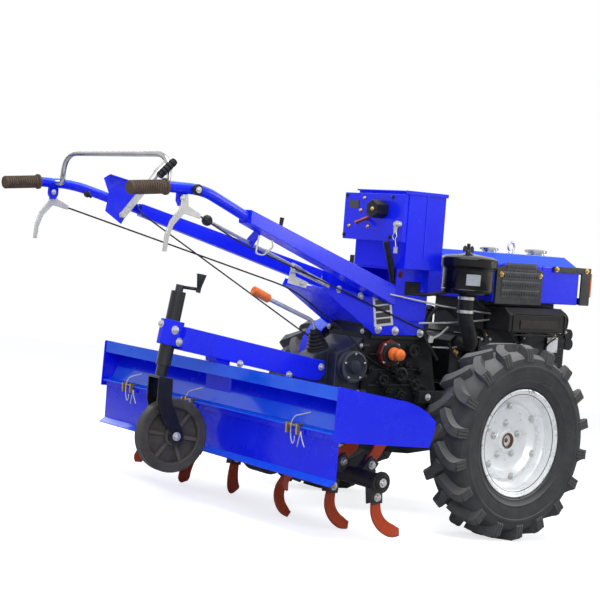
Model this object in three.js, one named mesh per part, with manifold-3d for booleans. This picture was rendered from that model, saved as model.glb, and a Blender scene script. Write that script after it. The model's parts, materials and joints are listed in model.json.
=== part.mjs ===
// Walking tractor with a rotary tiller: a two-wheeled, diesel-driven tractor walked
// behind by its handles. Millimetres, +X forward, +Y left, +Z up.
//
// Every piece is laid out from a datum on the middle plane, under the rear of the
// engine, with the engine level. The whole machine is then pitched nose-up until the
// tyres and the tiller tines stand on one floor, which is how it parks.

import * as THREE from 'three';
import { mergeVertices } from 'three/addons/utils/BufferGeometryUtils.js';
import Module from 'manifold-3d';

const wasm = await Module();
wasm.setup();

// ---------------------------------------------------------------- driving dimensions

// gap left between two pieces that touch
const FIT = 0.3;

// drive wheels
const AXLE = { x: -100, z: 18 };
const TYRE_RADIUS = 307;
const TYRE_WIDTH = 152;
const RIM_RADIUS = 169;
const RIM_WIDTH = 115;
const TRACK_HALF = 430;
const AXLE_RADIUS = 22;
const AXLE_HOUSING_RADIUS = 48;

// gearbox
const GEARBOX_HALF = 90;
const GEARBOX_REAR = -425;
const GEARBOX_TOP = 345;
const CASING_REAR = -530;
const CASING_HALF = 80;
const CASE_HALF = 40;
const BOOT_FOOT = { x: -541, z: 256.1 + FIT };

// engine
const ENGINE_RIGHT = -130;
const ENGINE_LEFT = 110;
const ENGINE_FRONT = 470;
const ENGINE_SEAT = 132;
const HOUSING_RIGHT = -200;
const HOUSING_LEFT = 130;
const HOUSING_REAR = 20;
const HOUSING_SPLIT = 250;
const HOUSING_FRONT = 440;
const HOUSING_BOTTOM = 440;
const HOUSING_TOP = 602;
const HOUSING_CHAMFER = 35;

// belt drive on the left side
const CRANK = { x: 300, z: 235 };
const CLUTCH = { x: -290, z: 215 };
const CRANK_PULLEY_RADIUS = 62;
const CLUTCH_PULLEY_RADIUS = 105;
const BELT_NEAR = 178;
const BELT_WIDTH = 46;

// handles
const GRIP_HALF = 349;
const GRIP_HEIGHT = 711;
const GRIP_END = -1488;
const GRIP_LENGTH = 114;
const GRIP_DROOP = 11;
const TUBE_RADIUS = 15;
const TUBE_BEND_X = -1262;
const BEAM_TOP = { x: -1065, y: 278, z: 651 };
const BEAM_FOOT = { x: -342, y: 99, z: 441 };
const BEAM_DEPTH = 62;
const BEAM_TIP_DEPTH = 38;
const BEAM_WIDTH = 46;
const SIDE_PLATE_Y = 98;
const SIDE_PLATE_THICK = 6;
const POST_TOP = 527.7;
const BOX_REAR = -326;
const BOX_TOP = 777;

// tiller
const ROTOR = { x: -719, z: -66 };
const ROTOR_HALF = 552;
const ROTOR_SHAFT_RADIUS = 24;
const TINE_RADIUS = 172;
const HOOD_HALF = 606;
const HOOD_REAR = -951;
const HOOD_TOP = 213;
const HOOD_FRONT = -603;
const HOOD_FRONT_TOP = 118;
const SHEET = 4;
const HINGE = { x: -948, z: 71 };
const FLAP_DEPTH = 133;

// gauge wheel
const POST_FOOT = { x: -1124, z: 168 };
const POST_LEAN = THREE.MathUtils.degToRad(9.4);
const POST_SWIVEL = THREE.MathUtils.degToRad(-7);
const SLEEVE_RADIUS = 22;
const INNER_POST_RADIUS = 17.5;
const GAUGE_RADIUS = 110;
const GAUGE_HALF = 20;
const FORK_LEAD = 72;
const FORK_DROP = 163;
const FORK_ARM_Y = 31;

// facets round a turned piece
const WHEEL_SEGMENTS = 36;

// colours
const BLUE = 0x1a22d8;
const BLACK = 0x1b1b1d;
const CAST = 0x3a3d41;
const ZINC = 0xc4c8c6;
const CHROME = 0xd6d4cc;
const RUBBER = 0x3b3c3e;
const GRIP_BROWN = 0x4b3f33;
const ORANGE = 0xf0642c;
const TINE_RED = 0x8c2c1a;

// ---------------------------------------------------------------- shapes

// A closed geometry with shared corners, its faces turned outwards.
function closed(geometry) {
  const bare = geometry.index ? geometry.toNonIndexed() : geometry.clone();
  bare.deleteAttribute('normal');
  bare.deleteAttribute('uv');
  const merged = mergeVertices(bare, 1e-4);
  const index = merged.index.array;
  const kept = [];
  let volume = 0;
  const a = new THREE.Vector3();
  const b = new THREE.Vector3();
  const c = new THREE.Vector3();
  for (let i = 0; i < index.length; i += 3) {
    const [ia, ib, ic] = [index[i], index[i + 1], index[i + 2]];
    if (ia === ib || ib === ic || ic === ia) continue;
    kept.push(ia, ib, ic);
    a.fromBufferAttribute(merged.attributes.position, ia);
    b.fromBufferAttribute(merged.attributes.position, ib);
    c.fromBufferAttribute(merged.attributes.position, ic);
    volume += a.dot(b.cross(c));
  }
  if (volume < 0) kept.reverse();
  merged.setIndex(kept);
  return merged;
}

function toSolid(geometry) {
  const shape = closed(geometry);
  const mesh = new wasm.Mesh({
    numProp: 3,
    vertProperties: new Float32Array(shape.attributes.position.array),
    triVerts: new Uint32Array(shape.index.array),
  });
  return new wasm.Manifold(mesh);
}

function toGeometry(solid) {
  const mesh = solid.getMesh();
  const geometry = new THREE.BufferGeometry();
  geometry.setAttribute('position', new THREE.BufferAttribute(mesh.vertProperties, 3));
  geometry.setIndex(new THREE.BufferAttribute(mesh.triVerts, 1));
  return geometry;
}

function join(...geometries) {
  return toGeometry(geometries.map(toSolid).reduce((sum, solid) => sum.add(solid)));
}

function cut(geometry, ...tools) {
  return toGeometry(tools.map(toSolid).reduce((rest, tool) => rest.subtract(tool), toSolid(geometry)));
}

// A box from its two corners.
function box(x0, x1, y0, y1, z0, z1) {
  const geometry = new THREE.BoxGeometry(x1 - x0, y1 - y0, z1 - z0);
  return geometry.translate((x0 + x1) / 2, (y0 + y1) / 2, (z0 + z1) / 2);
}

function outline(points) {
  return new THREE.Shape(points.map(([u, v]) => new THREE.Vector2(u, v)));
}

// A side outline of [x, z] points, spread sideways from y0 to y1.
function sidePlate(shape, y0, y1, curveSegments = 12) {
  const flat = Array.isArray(shape) ? outline(shape) : shape;
  const depth = Math.abs(y1 - y0);
  const geometry = new THREE.ExtrudeGeometry(flat, { depth, bevelEnabled: false, curveSegments });
  return geometry.rotateX(Math.PI / 2).translate(0, Math.max(y0, y1), 0);
}

// A cross outline of [y, z] points, run lengthwise from x0 to x1.
function crossBar(points, x0, x1) {
  const geometry = new THREE.ExtrudeGeometry(outline(points), { depth: x1 - x0, bevelEnabled: false });
  const turn = new THREE.Matrix4().makeBasis(
    new THREE.Vector3(0, 1, 0), new THREE.Vector3(0, 0, 1), new THREE.Vector3(1, 0, 0));
  return geometry.applyMatrix4(turn).translate(x0, 0, 0);
}

// A plan outline of [x, y] points, raised from z0 to z1.
function deck(points, z0, z1) {
  const geometry = new THREE.ExtrudeGeometry(outline(points), { depth: z1 - z0, bevelEnabled: false });
  return geometry.translate(0, 0, z0);
}

// A round bar between two points, or a cone where the radii differ.
function bar(from, to, radius, segments = 16, endRadius = radius) {
  const start = new THREE.Vector3(...from);
  const end = new THREE.Vector3(...to);
  const span = end.clone().sub(start);
  const geometry = new THREE.CylinderGeometry(endRadius, radius, span.length(), segments);
  const turn = new THREE.Quaternion().setFromUnitVectors(new THREE.Vector3(0, 1, 0), span.clone().normalize());
  return geometry.applyQuaternion(turn).translate(...start.add(end).multiplyScalar(0.5).toArray());
}

// A route of straight runs with its corners rounded: one trim for all corners, held to
// what the runs allow, or a list with the trim of each corner.
function route(points, trims) {
  const corners = points.map((p) => new THREE.Vector3(...p));
  const path = new THREE.CurvePath();
  let from = corners[0];
  for (let i = 1; i < corners.length - 1; i++) {
    const corner = corners[i];
    const back = corners[i - 1].clone().sub(corner);
    const ahead = corners[i + 1].clone().sub(corner);
    const room = Math.min(back.length(), ahead.length()) * 0.45;
    const trim = Array.isArray(trims) ? trims[i - 1] : Math.min(trims, room);
    const enter = corner.clone().addScaledVector(back.normalize(), trim);
    const leave = corner.clone().addScaledVector(ahead.normalize(), trim);
    path.add(new THREE.LineCurve3(from, enter));
    path.add(new THREE.QuadraticBezierCurve3(enter, corner, leave));
    from = leave;
  }
  path.add(new THREE.LineCurve3(from, corners[corners.length - 1]));
  return path;
}

// A round tube along a route, with a ring of corners at each point the route gives.
function tube(path, radius, sides = 12, bendSteps = 5) {
  const centres = path.getPoints(bendSteps);
  const last = centres.length - 1;
  const runs = centres.slice(1).map((point, i) => point.clone().sub(centres[i]).normalize());
  const positions = [];
  let across = Math.abs(runs[0].z) < 0.9 ? new THREE.Vector3(0, 0, 1) : new THREE.Vector3(1, 0, 0);
  centres.forEach((centre, i) => {
    const along = runs[Math.max(i - 1, 0)].clone().add(runs[Math.min(i, last - 1)]).normalize();
    across = across.clone().addScaledVector(along, -across.dot(along)).normalize();
    const other = along.clone().cross(across);
    for (let j = 0; j < sides; j++) {
      const angle = (j / sides) * Math.PI * 2;
      const corner = centre.clone().addScaledVector(across, radius * Math.cos(angle));
      positions.push(...corner.addScaledVector(other, radius * Math.sin(angle)).toArray());
    }
  });
  positions.push(...centres[0].toArray(), ...centres[last].toArray());
  const start = centres.length * sides;
  const index = [];
  for (let j = 0; j < sides; j++) {
    const next = (j + 1) % sides;
    for (let ring = 0; ring < start - sides; ring += sides) {
      index.push(ring + j, ring + next, ring + next + sides);
      index.push(ring + j, ring + next + sides, ring + j + sides);
    }
    index.push(start, next, j, start + 1, start - sides + j, start - sides + next);
  }
  const geometry = new THREE.BufferGeometry();
  geometry.setAttribute('position', new THREE.Float32BufferAttribute(positions, 3));
  geometry.setIndex(index);
  return geometry;
}

// A turned piece about the Y axis from [radius, y] points.
function turned(points, segments = 32) {
  return new THREE.LatheGeometry(points.map(([r, y]) => new THREE.Vector2(r, y)), segments);
}

// A turned piece about the Z axis from [radius, z] points.
function turnedUp(points, segments = 32) {
  return turned(points, segments).rotateX(Math.PI / 2);
}

// The outline of a belt run: two circles in the XZ plane and their tangents.
function beltOutline(grow) {
  const big = CLUTCH_PULLEY_RADIUS + grow;
  const small = CRANK_PULLEY_RADIUS + grow;
  const span = Math.hypot(CRANK.x - CLUTCH.x, CRANK.z - CLUTCH.z);
  const heading = Math.atan2(CRANK.z - CLUTCH.z, CRANK.x - CLUTCH.x);
  const wrap = Math.acos((big - small) / span);
  const shape = new THREE.Shape();
  shape.absarc(CLUTCH.x, CLUTCH.z, big, heading + wrap, heading - wrap + Math.PI * 2, false);
  shape.absarc(CRANK.x, CRANK.z, small, heading - wrap, heading + wrap, false);
  shape.closePath();
  return shape;
}

// ---------------------------------------------------------------- scene graph

const tractor = new THREE.Group();

function material(color, roughness = 0.5, metalness = 0) {
  return new THREE.MeshStandardMaterial({ color, roughness, metalness });
}

function add(parent, name, geometry, finish) {
  const mesh = new THREE.Mesh(closed(geometry), finish);
  mesh.name = name;
  parent.add(mesh);
  return mesh;
}

const paint = () => material(BLUE, 0.3);
const black = () => material(BLACK, 0.4);
const cast = () => material(CAST, 0.6, 0.2);
const zinc = () => material(ZINC, 0.35, 0.8);
const chrome = () => material(CHROME, 0.12, 1);

// The two sides of the machine: right is -Y, left is +Y.
const SIDES = [
  { name: 'right', y: -1 },
  { name: 'left', y: 1 },
];

// ---------------------------------------------------------------- drive wheels

// Local +Y points away from the tractor, so the left wheel is used as it is and the
// right wheel is turned half way round X.
function tyreGeometry() {
  const half = TYRE_WIDTH / 2;
  const bead = RIM_WIDTH / 2 - 5;
  const seat = RIM_RADIUS - 18 + FIT;
  return turned([
    [seat, -bead],
    [RIM_RADIUS + 2, -bead],
    [TYRE_RADIUS - 80, -half],
    [TYRE_RADIUS - 27, -half + 4],
    [TYRE_RADIUS, -half + 26],
    [TYRE_RADIUS, half - 26],
    [TYRE_RADIUS - 27, half - 4],
    [TYRE_RADIUS - 80, half],
    [RIM_RADIUS + 2, bead],
    [seat, bead],
    [seat, -bead],
  ], WHEEL_SEGMENTS);
}

// Rolled rim with a dropped well, and a dished disc with its hub. The last 4 mm of the
// rim stand outside the tyre beads.
function rimGeometry() {
  const half = RIM_WIDTH / 2;
  const seat = RIM_RADIUS - 18;
  const well = RIM_RADIUS - 34;
  return turned([
    [RIM_RADIUS, -half],
    [RIM_RADIUS, -half + 4],
    [seat, -half + 4],
    [seat, -18],
    [well, 0],
    [seat, 18],
    [seat, half - 4],
    [RIM_RADIUS, half - 4],
    [RIM_RADIUS, half],
    [seat - 4, half],
    [seat - 4, 20],
    [well - 4, 3],
    [116, 12],
    [96, -8],
    [36, -11],
    [33, 3],
    [AXLE_RADIUS - 4, 3],
    [AXLE_RADIUS - 4, -40],
    [50, -40],
    [56, -17],
    [100, -14],
    [120, 5],
    [well - 4, -3],
    [seat - 4, -20],
    [seat - 4, -half],
    [RIM_RADIUS, -half],
  ], WHEEL_SEGMENTS);
}

const wheels = [];
for (const side of SIDES) {
  const wheel = new THREE.Group();
  wheel.position.set(AXLE.x, side.y * TRACK_HALF, AXLE.z);
  if (side.y < 0) wheel.rotation.x = Math.PI;
  tractor.add(wheel);
  wheels.push(wheel);
  add(wheel, `tyre_${side.name}`, tyreGeometry(), material(RUBBER, 0.85));
  const inner = GEARBOX_HALF + 1 + FIT - TRACK_HALF;
  const shaft = bar([0, inner, 0], [0, 6, 0], AXLE_RADIUS, WHEEL_SEGMENTS);
  add(wheel, `wheel_rim_${side.name}`, join(rimGeometry(), shaft), zinc());
}

// ---------------------------------------------------------------- gearbox

const gearboxSide = [
  [GEARBOX_REAR, GEARBOX_TOP - 30],
  [GEARBOX_REAR + 30, GEARBOX_TOP],
  [-175, GEARBOX_TOP],
  [-140, 300],
  [-112, 180],
  [-96, 112],
  [-34, 86],
  [-10, 48],
  [-10, -22],
  [-44, -64],
  [-200, -76],
  [-380, -60],
  [GEARBOX_REAR, -10],
];
// Turned flange that the PTO cap pushes onto.
const PTO = { x: -324, z: 254 };
const ptoFlange = turned([
  [0, 0],
  [38, 0],
  [38, 13],
  [33, 15],
  [33, 27],
  [0, 27],
], 28).rotateX(Math.PI).translate(PTO.x, 1 - GEARBOX_HALF, PTO.z);

// Half-axle housing, its bore open at the outer end, for the left side.
function axleHousing() {
  return turned([
    [0, -2],
    [72, -2],
    [72, 14],
    [AXLE_HOUSING_RADIUS, 22],
    [AXLE_HOUSING_RADIUS - 6, 238],
    [58, 242],
    [58, 258],
    [AXLE_RADIUS + 2, 258],
    [AXLE_RADIUS + 2, 1],
    [0, 1],
  ], 22);
}

// Raised pads on both sides, where the handle plates bolt on.
const padHalf = SIDE_PLATE_Y - FIT;
add(tractor, 'gearbox_housing', join(
  sidePlate(gearboxSide, -GEARBOX_HALF, GEARBOX_HALF),
  box(-405, -180, -padHalf, padHalf, 300, 342),
  axleHousing().translate(AXLE.x, GEARBOX_HALF, AXLE.z),
  axleHousing().rotateX(Math.PI).translate(AXLE.x, -GEARBOX_HALF, AXLE.z),
  ptoFlange,
), black());

// The rear casing behind the gearbox narrows to the tiller case.
const rearCasingSide = [
  [GEARBOX_REAR - FIT, 300],
  [-470, 272],
  [CASING_REAR, 250],
  [CASING_REAR, -10],
  [GEARBOX_REAR - FIT, -10],
];
const rearTongueSide = [
  [-500, 271],
  [-575, 243.7],
  [-600, 222],
  [-640, 150],
  [-640, 40],
  [-500, 40],
];
add(tractor, 'rear_casing', join(
  sidePlate(rearCasingSide, -CASING_HALF, CASING_HALF),
  sidePlate(rearTongueSide, -CASE_HALF, CASE_HALF),
), cast());

add(tractor, 'gearbox_side_cover', turned([
  [0, 0],
  [50, 0],
  [50, 10],
  [44, 14],
  [44, 24],
  [17, 26],
  [15, 34],
  [0, 34],
], 28).rotateX(Math.PI).translate(-478, -CASING_HALF - FIT, 211), cast());

add(tractor, 'pto_cap', turned([
  [0, 0],
  [24, 0],
  [26, 14],
  [21, 22],
  [16, 26],
  [18, 38],
  [13, 45],
  [0, 47],
], 22).rotateX(Math.PI).translate(PTO.x, -GEARBOX_HALF - 26 - FIT, PTO.z), material(ORANGE, 0.5));

// Gear lever with its bellows boot, standing on the slope of the rear casing.
const LEVER_LEAN = THREE.MathUtils.degToRad(-20);
const BOOT_HEIGHT = 66;
const boot = turned([
  [0, 0],
  [36, 0],
  [36, 12],
  [30, 17],
  [32, 28],
  [24, 33],
  [26, 44],
  [18, 49],
  [14, BOOT_HEIGHT],
  [0, BOOT_HEIGHT],
], 22).rotateX(Math.PI / 2).rotateY(LEVER_LEAN).translate(BOOT_FOOT.x, 0, BOOT_FOOT.z);
add(tractor, 'gear_lever_boot', boot, material(BLACK, 0.7));

// A point on the middle line of the boot, a given height above its foot.
function onBoot(height) {
  return [
    BOOT_FOOT.x + Math.sin(LEVER_LEAN) * height,
    0,
    BOOT_FOOT.z + Math.cos(LEVER_LEAN) * height,
  ];
}
const leverPath = route([onBoot(BOOT_HEIGHT + FIT), onBoot(BOOT_HEIGHT + 28), [-745, 6, 407]], 22);
add(tractor, 'gear_lever', tube(leverPath, 7, 10), zinc());
add(tractor, 'gear_lever_grip', bar([-745.8, 6, 407.4], [-806, 8, 432], 14, 16), material(ORANGE, 0.5));

// ---------------------------------------------------------------- frame and engine

const frameBars = SIDES.map((side) => {
  const inner = side.y * (GEARBOX_HALF + FIT);
  const outer = side.y * 109;
  return box(-190, 500, Math.min(inner, outer), Math.max(inner, outer), ENGINE_SEAT - 40, ENGINE_SEAT - FIT);
});
const crossBars = [[96, 126], [300, 330], [470, 500]];
add(tractor, 'chassis_frame', join(
  ...frameBars,
  ...crossBars.map(([x0, x1]) => box(x0, x1, -100, 100, ENGINE_SEAT - 38, ENGINE_SEAT - 2)),
), black());

const engineSide = [
  [10, ENGINE_SEAT],
  [ENGINE_FRONT, ENGINE_SEAT],
  [ENGINE_FRONT, 316],
  [430, 342.7],
  [400, 342.7],
  [400, HOUSING_BOTTOM - FIT],
  [60, HOUSING_BOTTOM - FIT],
  [60, 342.7],
  [10, 324],
];
add(tractor, 'engine_block', join(
  sidePlate(engineSide, ENGINE_RIGHT, ENGINE_LEFT),
  box(ENGINE_FRONT - 2, 484, -126, -112, 290, 314),
  bar([494, -128, 330], [494, -110, 330], 21, 24),
  bar([498, -128, 297], [498, -110, 297], 21, 24),
), black());

add(tractor, 'cylinder_head', sidePlate([
  [10 - FIT, 150],
  [10 - FIT, 318],
  [-40, 318],
  [-62, 300],
  [-62, 168],
  [-44, 150],
], -105, 92), black());

// Water radiator housing and fuel tank: one cross section, split into two pieces.
const housingSection = [
  [HOUSING_RIGHT, HOUSING_BOTTOM],
  [HOUSING_LEFT, HOUSING_BOTTOM],
  [HOUSING_LEFT, HOUSING_TOP - HOUSING_CHAMFER],
  [HOUSING_LEFT - HOUSING_CHAMFER, HOUSING_TOP],
  [HOUSING_RIGHT + HOUSING_CHAMFER, HOUSING_TOP],
  [HOUSING_RIGHT, HOUSING_TOP - HOUSING_CHAMFER],
];
const rearSlope = sidePlate([
  [HOUSING_REAR - 1, HOUSING_TOP - HOUSING_CHAMFER],
  [HOUSING_REAR, HOUSING_TOP - HOUSING_CHAMFER],
  [HOUSING_REAR + HOUSING_CHAMFER, HOUSING_TOP + 1],
  [HOUSING_REAR - 1, HOUSING_TOP + 1],
], HOUSING_RIGHT - 1, HOUSING_LEFT + 1);
add(tractor, 'radiator_housing', cut(
  crossBar(housingSection, HOUSING_REAR, HOUSING_SPLIT),
  rearSlope,
), paint());

const frontSlope = sidePlate([
  [HOUSING_FRONT + 1, HOUSING_TOP - 44],
  [HOUSING_FRONT + 1, HOUSING_TOP + 1],
  [HOUSING_FRONT - 44, HOUSING_TOP + 1],
], HOUSING_RIGHT - 1, HOUSING_LEFT + 1);
add(tractor, 'fuel_tank', cut(
  crossBar(housingSection, HOUSING_SPLIT + FIT, HOUSING_FRONT),
  frontSlope,
), paint());

// Perforated grilles, one each side of the radiator.
const GRILLE_THICK = 9;
for (const side of SIDES) {
  const wall = side.y < 0 ? HOUSING_RIGHT : HOUSING_LEFT;
  const grille = sidePlate([
    [24, 434],
    [246, 434],
    [246, 548],
    [196, 566],
    [72, 566],
    [24, 552],
  ], wall + side.y * FIT, wall + side.y * GRILLE_THICK);
  add(tractor, `radiator_grille_${side.name}`, grille, black());
}

// Filler caps and the lifting eye along the middle of the housing.
const CAP_LINE_Y = -40;
const capProfile = [
  [0, 0],
  [20, 0],
  [20, 5],
  [30, 6],
  [30, 12],
  [22, 15],
  [0, 17],
];
for (const [name, x, scale] of [['radiator_cap', 150, 1], ['fuel_cap', 384, 1.22]]) {
  const cap = turnedUp(capProfile, 24).scale(scale, scale, 0.6 * scale);
  add(tractor, name, cap.translate(x, CAP_LINE_Y, HOUSING_TOP + FIT), chrome());
}
const eye = new THREE.TorusGeometry(15, 4, 8, 16).rotateX(Math.PI / 2);
add(tractor, 'lifting_eye', join(
  eye.translate(258, CAP_LINE_Y, HOUSING_TOP + 24),
  turnedUp([[0, 0], [14, 0], [14, 6], [6, 8], [6, 12], [0, 12]], 20)
    .translate(258, CAP_LINE_Y, HOUSING_TOP + FIT),
), zinc());

// Strap frame round the front of the tank.
const STRAP = 6;
const strapLeft = HOUSING_LEFT + FIT;
const strapRight = HOUSING_RIGHT - FIT;
const strapParts = [];
for (const [near, far] of [[strapRight - STRAP, strapRight], [strapLeft, strapLeft + STRAP]]) {
  strapParts.push(box(302, 494, near, far, 550, 570));
  strapParts.push(box(446, 494, near, far, 440, 570));
}
strapParts.push(box(488, 494, strapRight - STRAP, strapLeft + STRAP, 546, 570));
strapParts.push(box(488, 494, strapRight - STRAP, strapLeft + STRAP, 440, 464));
add(tractor, 'tank_guard', join(...strapParts), black());
add(tractor, 'reflector_strip', box(494 + FIT, 501, strapRight - STRAP, -150, 470, 552), material(ORANGE, 0.4));

// Air cleaner, its intake pipe and the muffler on the right of the engine.
const AIR_CLEANER = { x: -72, y: -172 };
const octagon = (radius, z0, z1, topRadius = radius) => {
  const shape = new THREE.CylinderGeometry(topRadius, radius, z1 - z0, 8);
  return shape.rotateY(Math.PI / 8).rotateX(Math.PI / 2).translate(AIR_CLEANER.x, AIR_CLEANER.y, (z0 + z1) / 2);
};
add(tractor, 'air_cleaner', join(
  octagon(84, 460, 472),
  octagon(88, 471, 524),
  octagon(94, 522, 566),
  octagon(94, 565, 576, 62),
  bar([AIR_CLEANER.x, AIR_CLEANER.y, 575], [AIR_CLEANER.x, AIR_CLEANER.y, 592], 7),
), black());
const pipePath = route([
  [AIR_CLEANER.x, AIR_CLEANER.y, 460 - FIT],
  [AIR_CLEANER.x, AIR_CLEANER.y, 380],
  [-22, -164, 292],
  [-22, -105 - FIT, 292],
], 44);
add(tractor, 'intake_pipe', tube(pipePath, 25, 16), black());

add(tractor, 'muffler', crossBar([
  [ENGINE_RIGHT - FIT, 343],
  [ENGINE_RIGHT - FIT, 425],
  [-214, 425],
  [-240, 404],
  [-240, 343],
], 68, 350), black());

// ---------------------------------------------------------------- belt drive

const flywheel = turned([
  [0, 0],
  [60, 0],
  [60, 10],
  [150, 10],
  [150, 58],
  [128, 58],
  [128, 22],
  [50, 22],
  [0, 22],
], 30).translate(CRANK.x, ENGINE_LEFT + FIT, CRANK.z);

function pulley(radius, width) {
  return turned([
    [0, 0],
    [radius + 4, 0],
    [radius, 4],
    [radius, width - 4],
    [radius + 4, width],
    [0, width],
  ], 28);
}
const beltRoom = BELT_WIDTH + 10;
add(tractor, 'flywheel', join(
  flywheel,
  bar([CRANK.x, ENGINE_LEFT + 15, CRANK.z], [CRANK.x, BELT_NEAR, CRANK.z], 40, 24),
  pulley(CRANK_PULLEY_RADIUS, beltRoom).translate(CRANK.x, BELT_NEAR - 5, CRANK.z),
), cast());
add(tractor, 'clutch_pulley', join(
  bar([0, GEARBOX_HALF + FIT - BELT_NEAR + 5, 0], [0, 1, 0], 34, 24),
  pulley(CLUTCH_PULLEY_RADIUS, beltRoom),
).translate(CLUTCH.x, BELT_NEAR - 5, CLUTCH.z), cast());

const beltLoop = beltOutline(12);
beltLoop.holes.push(beltOutline(1));
add(tractor, 'drive_belts', sidePlate(beltLoop, BELT_NEAR, BELT_NEAR + BELT_WIDTH, 12), material(RUBBER, 0.8));

// The guard is an open-backed shell round the belts, carried by brackets off the frame
// and the gearbox.
const guardOuter = sidePlate(beltOutline(26), BELT_NEAR - 6, BELT_NEAR + BELT_WIDTH + 22, 12);
const guardInner = sidePlate(beltOutline(22), BELT_NEAR - 7, BELT_NEAR + BELT_WIDTH + 18, 12);
add(tractor, 'belt_guard', join(
  cut(guardOuter, guardInner),
  box(-255, -215, GEARBOX_HALF + FIT, BELT_NEAR + 4, 82, 94),
), paint());

// ---------------------------------------------------------------- handles

// The tubes and beams of one side lie in one upright plane, so a beam is drawn as an
// outline of [distance, height] in that plane and then turned to its heading.
const beamRun = Math.hypot(BEAM_FOOT.x - BEAM_TOP.x, BEAM_TOP.y - BEAM_FOOT.y);
const beamHeading = Math.atan2(BEAM_TOP.y - BEAM_FOOT.y, BEAM_FOOT.x - BEAM_TOP.x);
const beamSlope = (BEAM_TOP.z - BEAM_FOOT.z) / beamRun;

function alongBeam(distance, side, lift = 0) {
  return [
    BEAM_TOP.x + distance * Math.cos(beamHeading),
    side.y * (BEAM_TOP.y - distance * Math.sin(beamHeading)),
    BEAM_TOP.z - distance * beamSlope + lift,
  ];
}

function beamPlate(points, halfWidth, side, offset = 0) {
  const geometry = sidePlate(points, offset - halfWidth, offset + halfWidth);
  return geometry.rotateZ(-side.y * beamHeading).translate(BEAM_TOP.x, side.y * BEAM_TOP.y, 0);
}

function beamOutline() {
  const foot = BEAM_TOP.z - beamRun * beamSlope;
  return [
    [0, BEAM_TOP.z - BEAM_TIP_DEPTH / 2],
    [beamRun, foot - BEAM_DEPTH / 2],
    [beamRun, foot + BEAM_DEPTH / 2],
    [0, BEAM_TOP.z + BEAM_TIP_DEPTH / 2],
  ];
}

// Side plate at the foot: it bolts to the gearbox pad, carries the beam and its lower
// arm, and rises as the post of the control box.
const sidePlateOutline = [
  [-183, 314],
  [-183, POST_TOP],
  [-323, POST_TOP],
  [-323, 470],
  [-430, 494],
  [-430, 430],
  [-612, 470],
  [-622, 450],
  [-400, 314],
];

const outerY = SIDE_PLATE_Y + SIDE_PLATE_THICK;
const tieOutline = [
  [-460, 350],
  [-456, 356],
  [-616, 456],
  [-620, 450],
];
add(tractor, 'handle_base', cut(
  join(
    sidePlate(sidePlateOutline, -outerY, -SIDE_PLATE_Y),
    sidePlate(sidePlateOutline, SIDE_PLATE_Y, outerY),
    sidePlate(tieOutline, -SIDE_PLATE_Y - 1, SIDE_PLATE_Y + 1),
    box(-192, -186, -SIDE_PLATE_Y - 1, SIDE_PLATE_Y + 1, GEARBOX_TOP + 4, POST_TOP),
    box(-320, -188, -SIDE_PLATE_Y - 1, SIDE_PLATE_Y + 1, POST_TOP - 6, POST_TOP),
  ),
  box(-285, -214, -outerY - 1, outerY + 1, 443, 487),
), paint());

// The handle tube enters a round socket in the top end of the beam.
const SOCKET_DEPTH = 42;
function inSocket(side, depth) {
  const bend = new THREE.Vector3(TUBE_BEND_X, side.y * GRIP_HALF, GRIP_HEIGHT);
  const mouth = new THREE.Vector3(...alongBeam(0, side));
  const inward = mouth.clone().sub(bend).normalize();
  return mouth.addScaledVector(inward, depth).toArray();
}

// A round rod runs under the right beam, from a ball near its top end to a flat end on
// the side plate. A tab on the beam steadies it.
const ROD_BALL = [-1173, -250, 631];
const ROD_END = [-722, -outerY - 8, 505];
const ROD_RADIUS = 5;
const rodDirection = new THREE.Vector3(...ROD_END).sub(new THREE.Vector3(...ROD_BALL)).normalize();
const rodPoint = (distance) => new THREE.Vector3(...ROD_BALL).addScaledVector(rodDirection, distance).toArray();
const TAB_X = -980;
const [, tabY, tabZ] = rodPoint((TAB_X - ROD_BALL[0]) / rodDirection.x);
const rodTab = crossBar([
  [tabY + 10, tabZ - 12],
  [tabY + 10, tabZ + 12],
  [-246, 640],
  [-246, 610],
  [tabY - 14, tabZ - 12],
], TAB_X - 3, TAB_X + 3);
add(tractor, 'control_rod', join(
  new THREE.SphereGeometry(15, 16, 10).translate(...ROD_BALL),
  bar(ROD_BALL, rodPoint(485), ROD_RADIUS, 10),
  bar(rodPoint(440), rodPoint(484), 9, 12),
  sidePlate([[-738, 518], [-604, 468], [-606, 454], [-738, 498]], -outerY - FIT - 8, -outerY - FIT),
), zinc());

// Each beam is notched to sit against the outside of its side plate.
for (const side of SIDES) {
  const seat = side.y * (outerY + FIT);
  const inside = box(-700, -150, Math.min(seat, -side.y * 200), Math.max(seat, -side.y * 200), 300, 560);
  const beam = beamPlate(beamOutline(), BEAM_WIDTH / 2, side);
  add(tractor, `handle_beam_${side.name}`, cut(
    side.y < 0 ? join(beam, rodTab) : beam,
    inside,
    bar(inSocket(side, -20), inSocket(side, SOCKET_DEPTH), TUBE_RADIUS + 1.5 * FIT, 28),
    bar(rodPoint(-20), rodPoint(460), ROD_RADIUS + 2 * FIT, 16),
  ), paint());
}

// The clutch lever works beside the left tube, in the tube's own upright plane: a point
// there is a distance from the bend, a height and an inset from the tube's middle line.
const tubeHeading = Math.atan2(GRIP_HALF - BEAM_TOP.y, BEAM_TOP.x - TUBE_BEND_X);
function besideTube(distance, z, inset) {
  return [
    TUBE_BEND_X + distance * Math.cos(tubeHeading) - inset * Math.sin(tubeHeading),
    GRIP_HALF - distance * Math.sin(tubeHeading) - inset * Math.cos(tubeHeading),
    z,
  ];
}
function plateBesideTube(points, near, far) {
  return sidePlate(points, -far, -near).rotateZ(-tubeHeading).translate(...besideTube(0, 0, 0));
}

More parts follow.
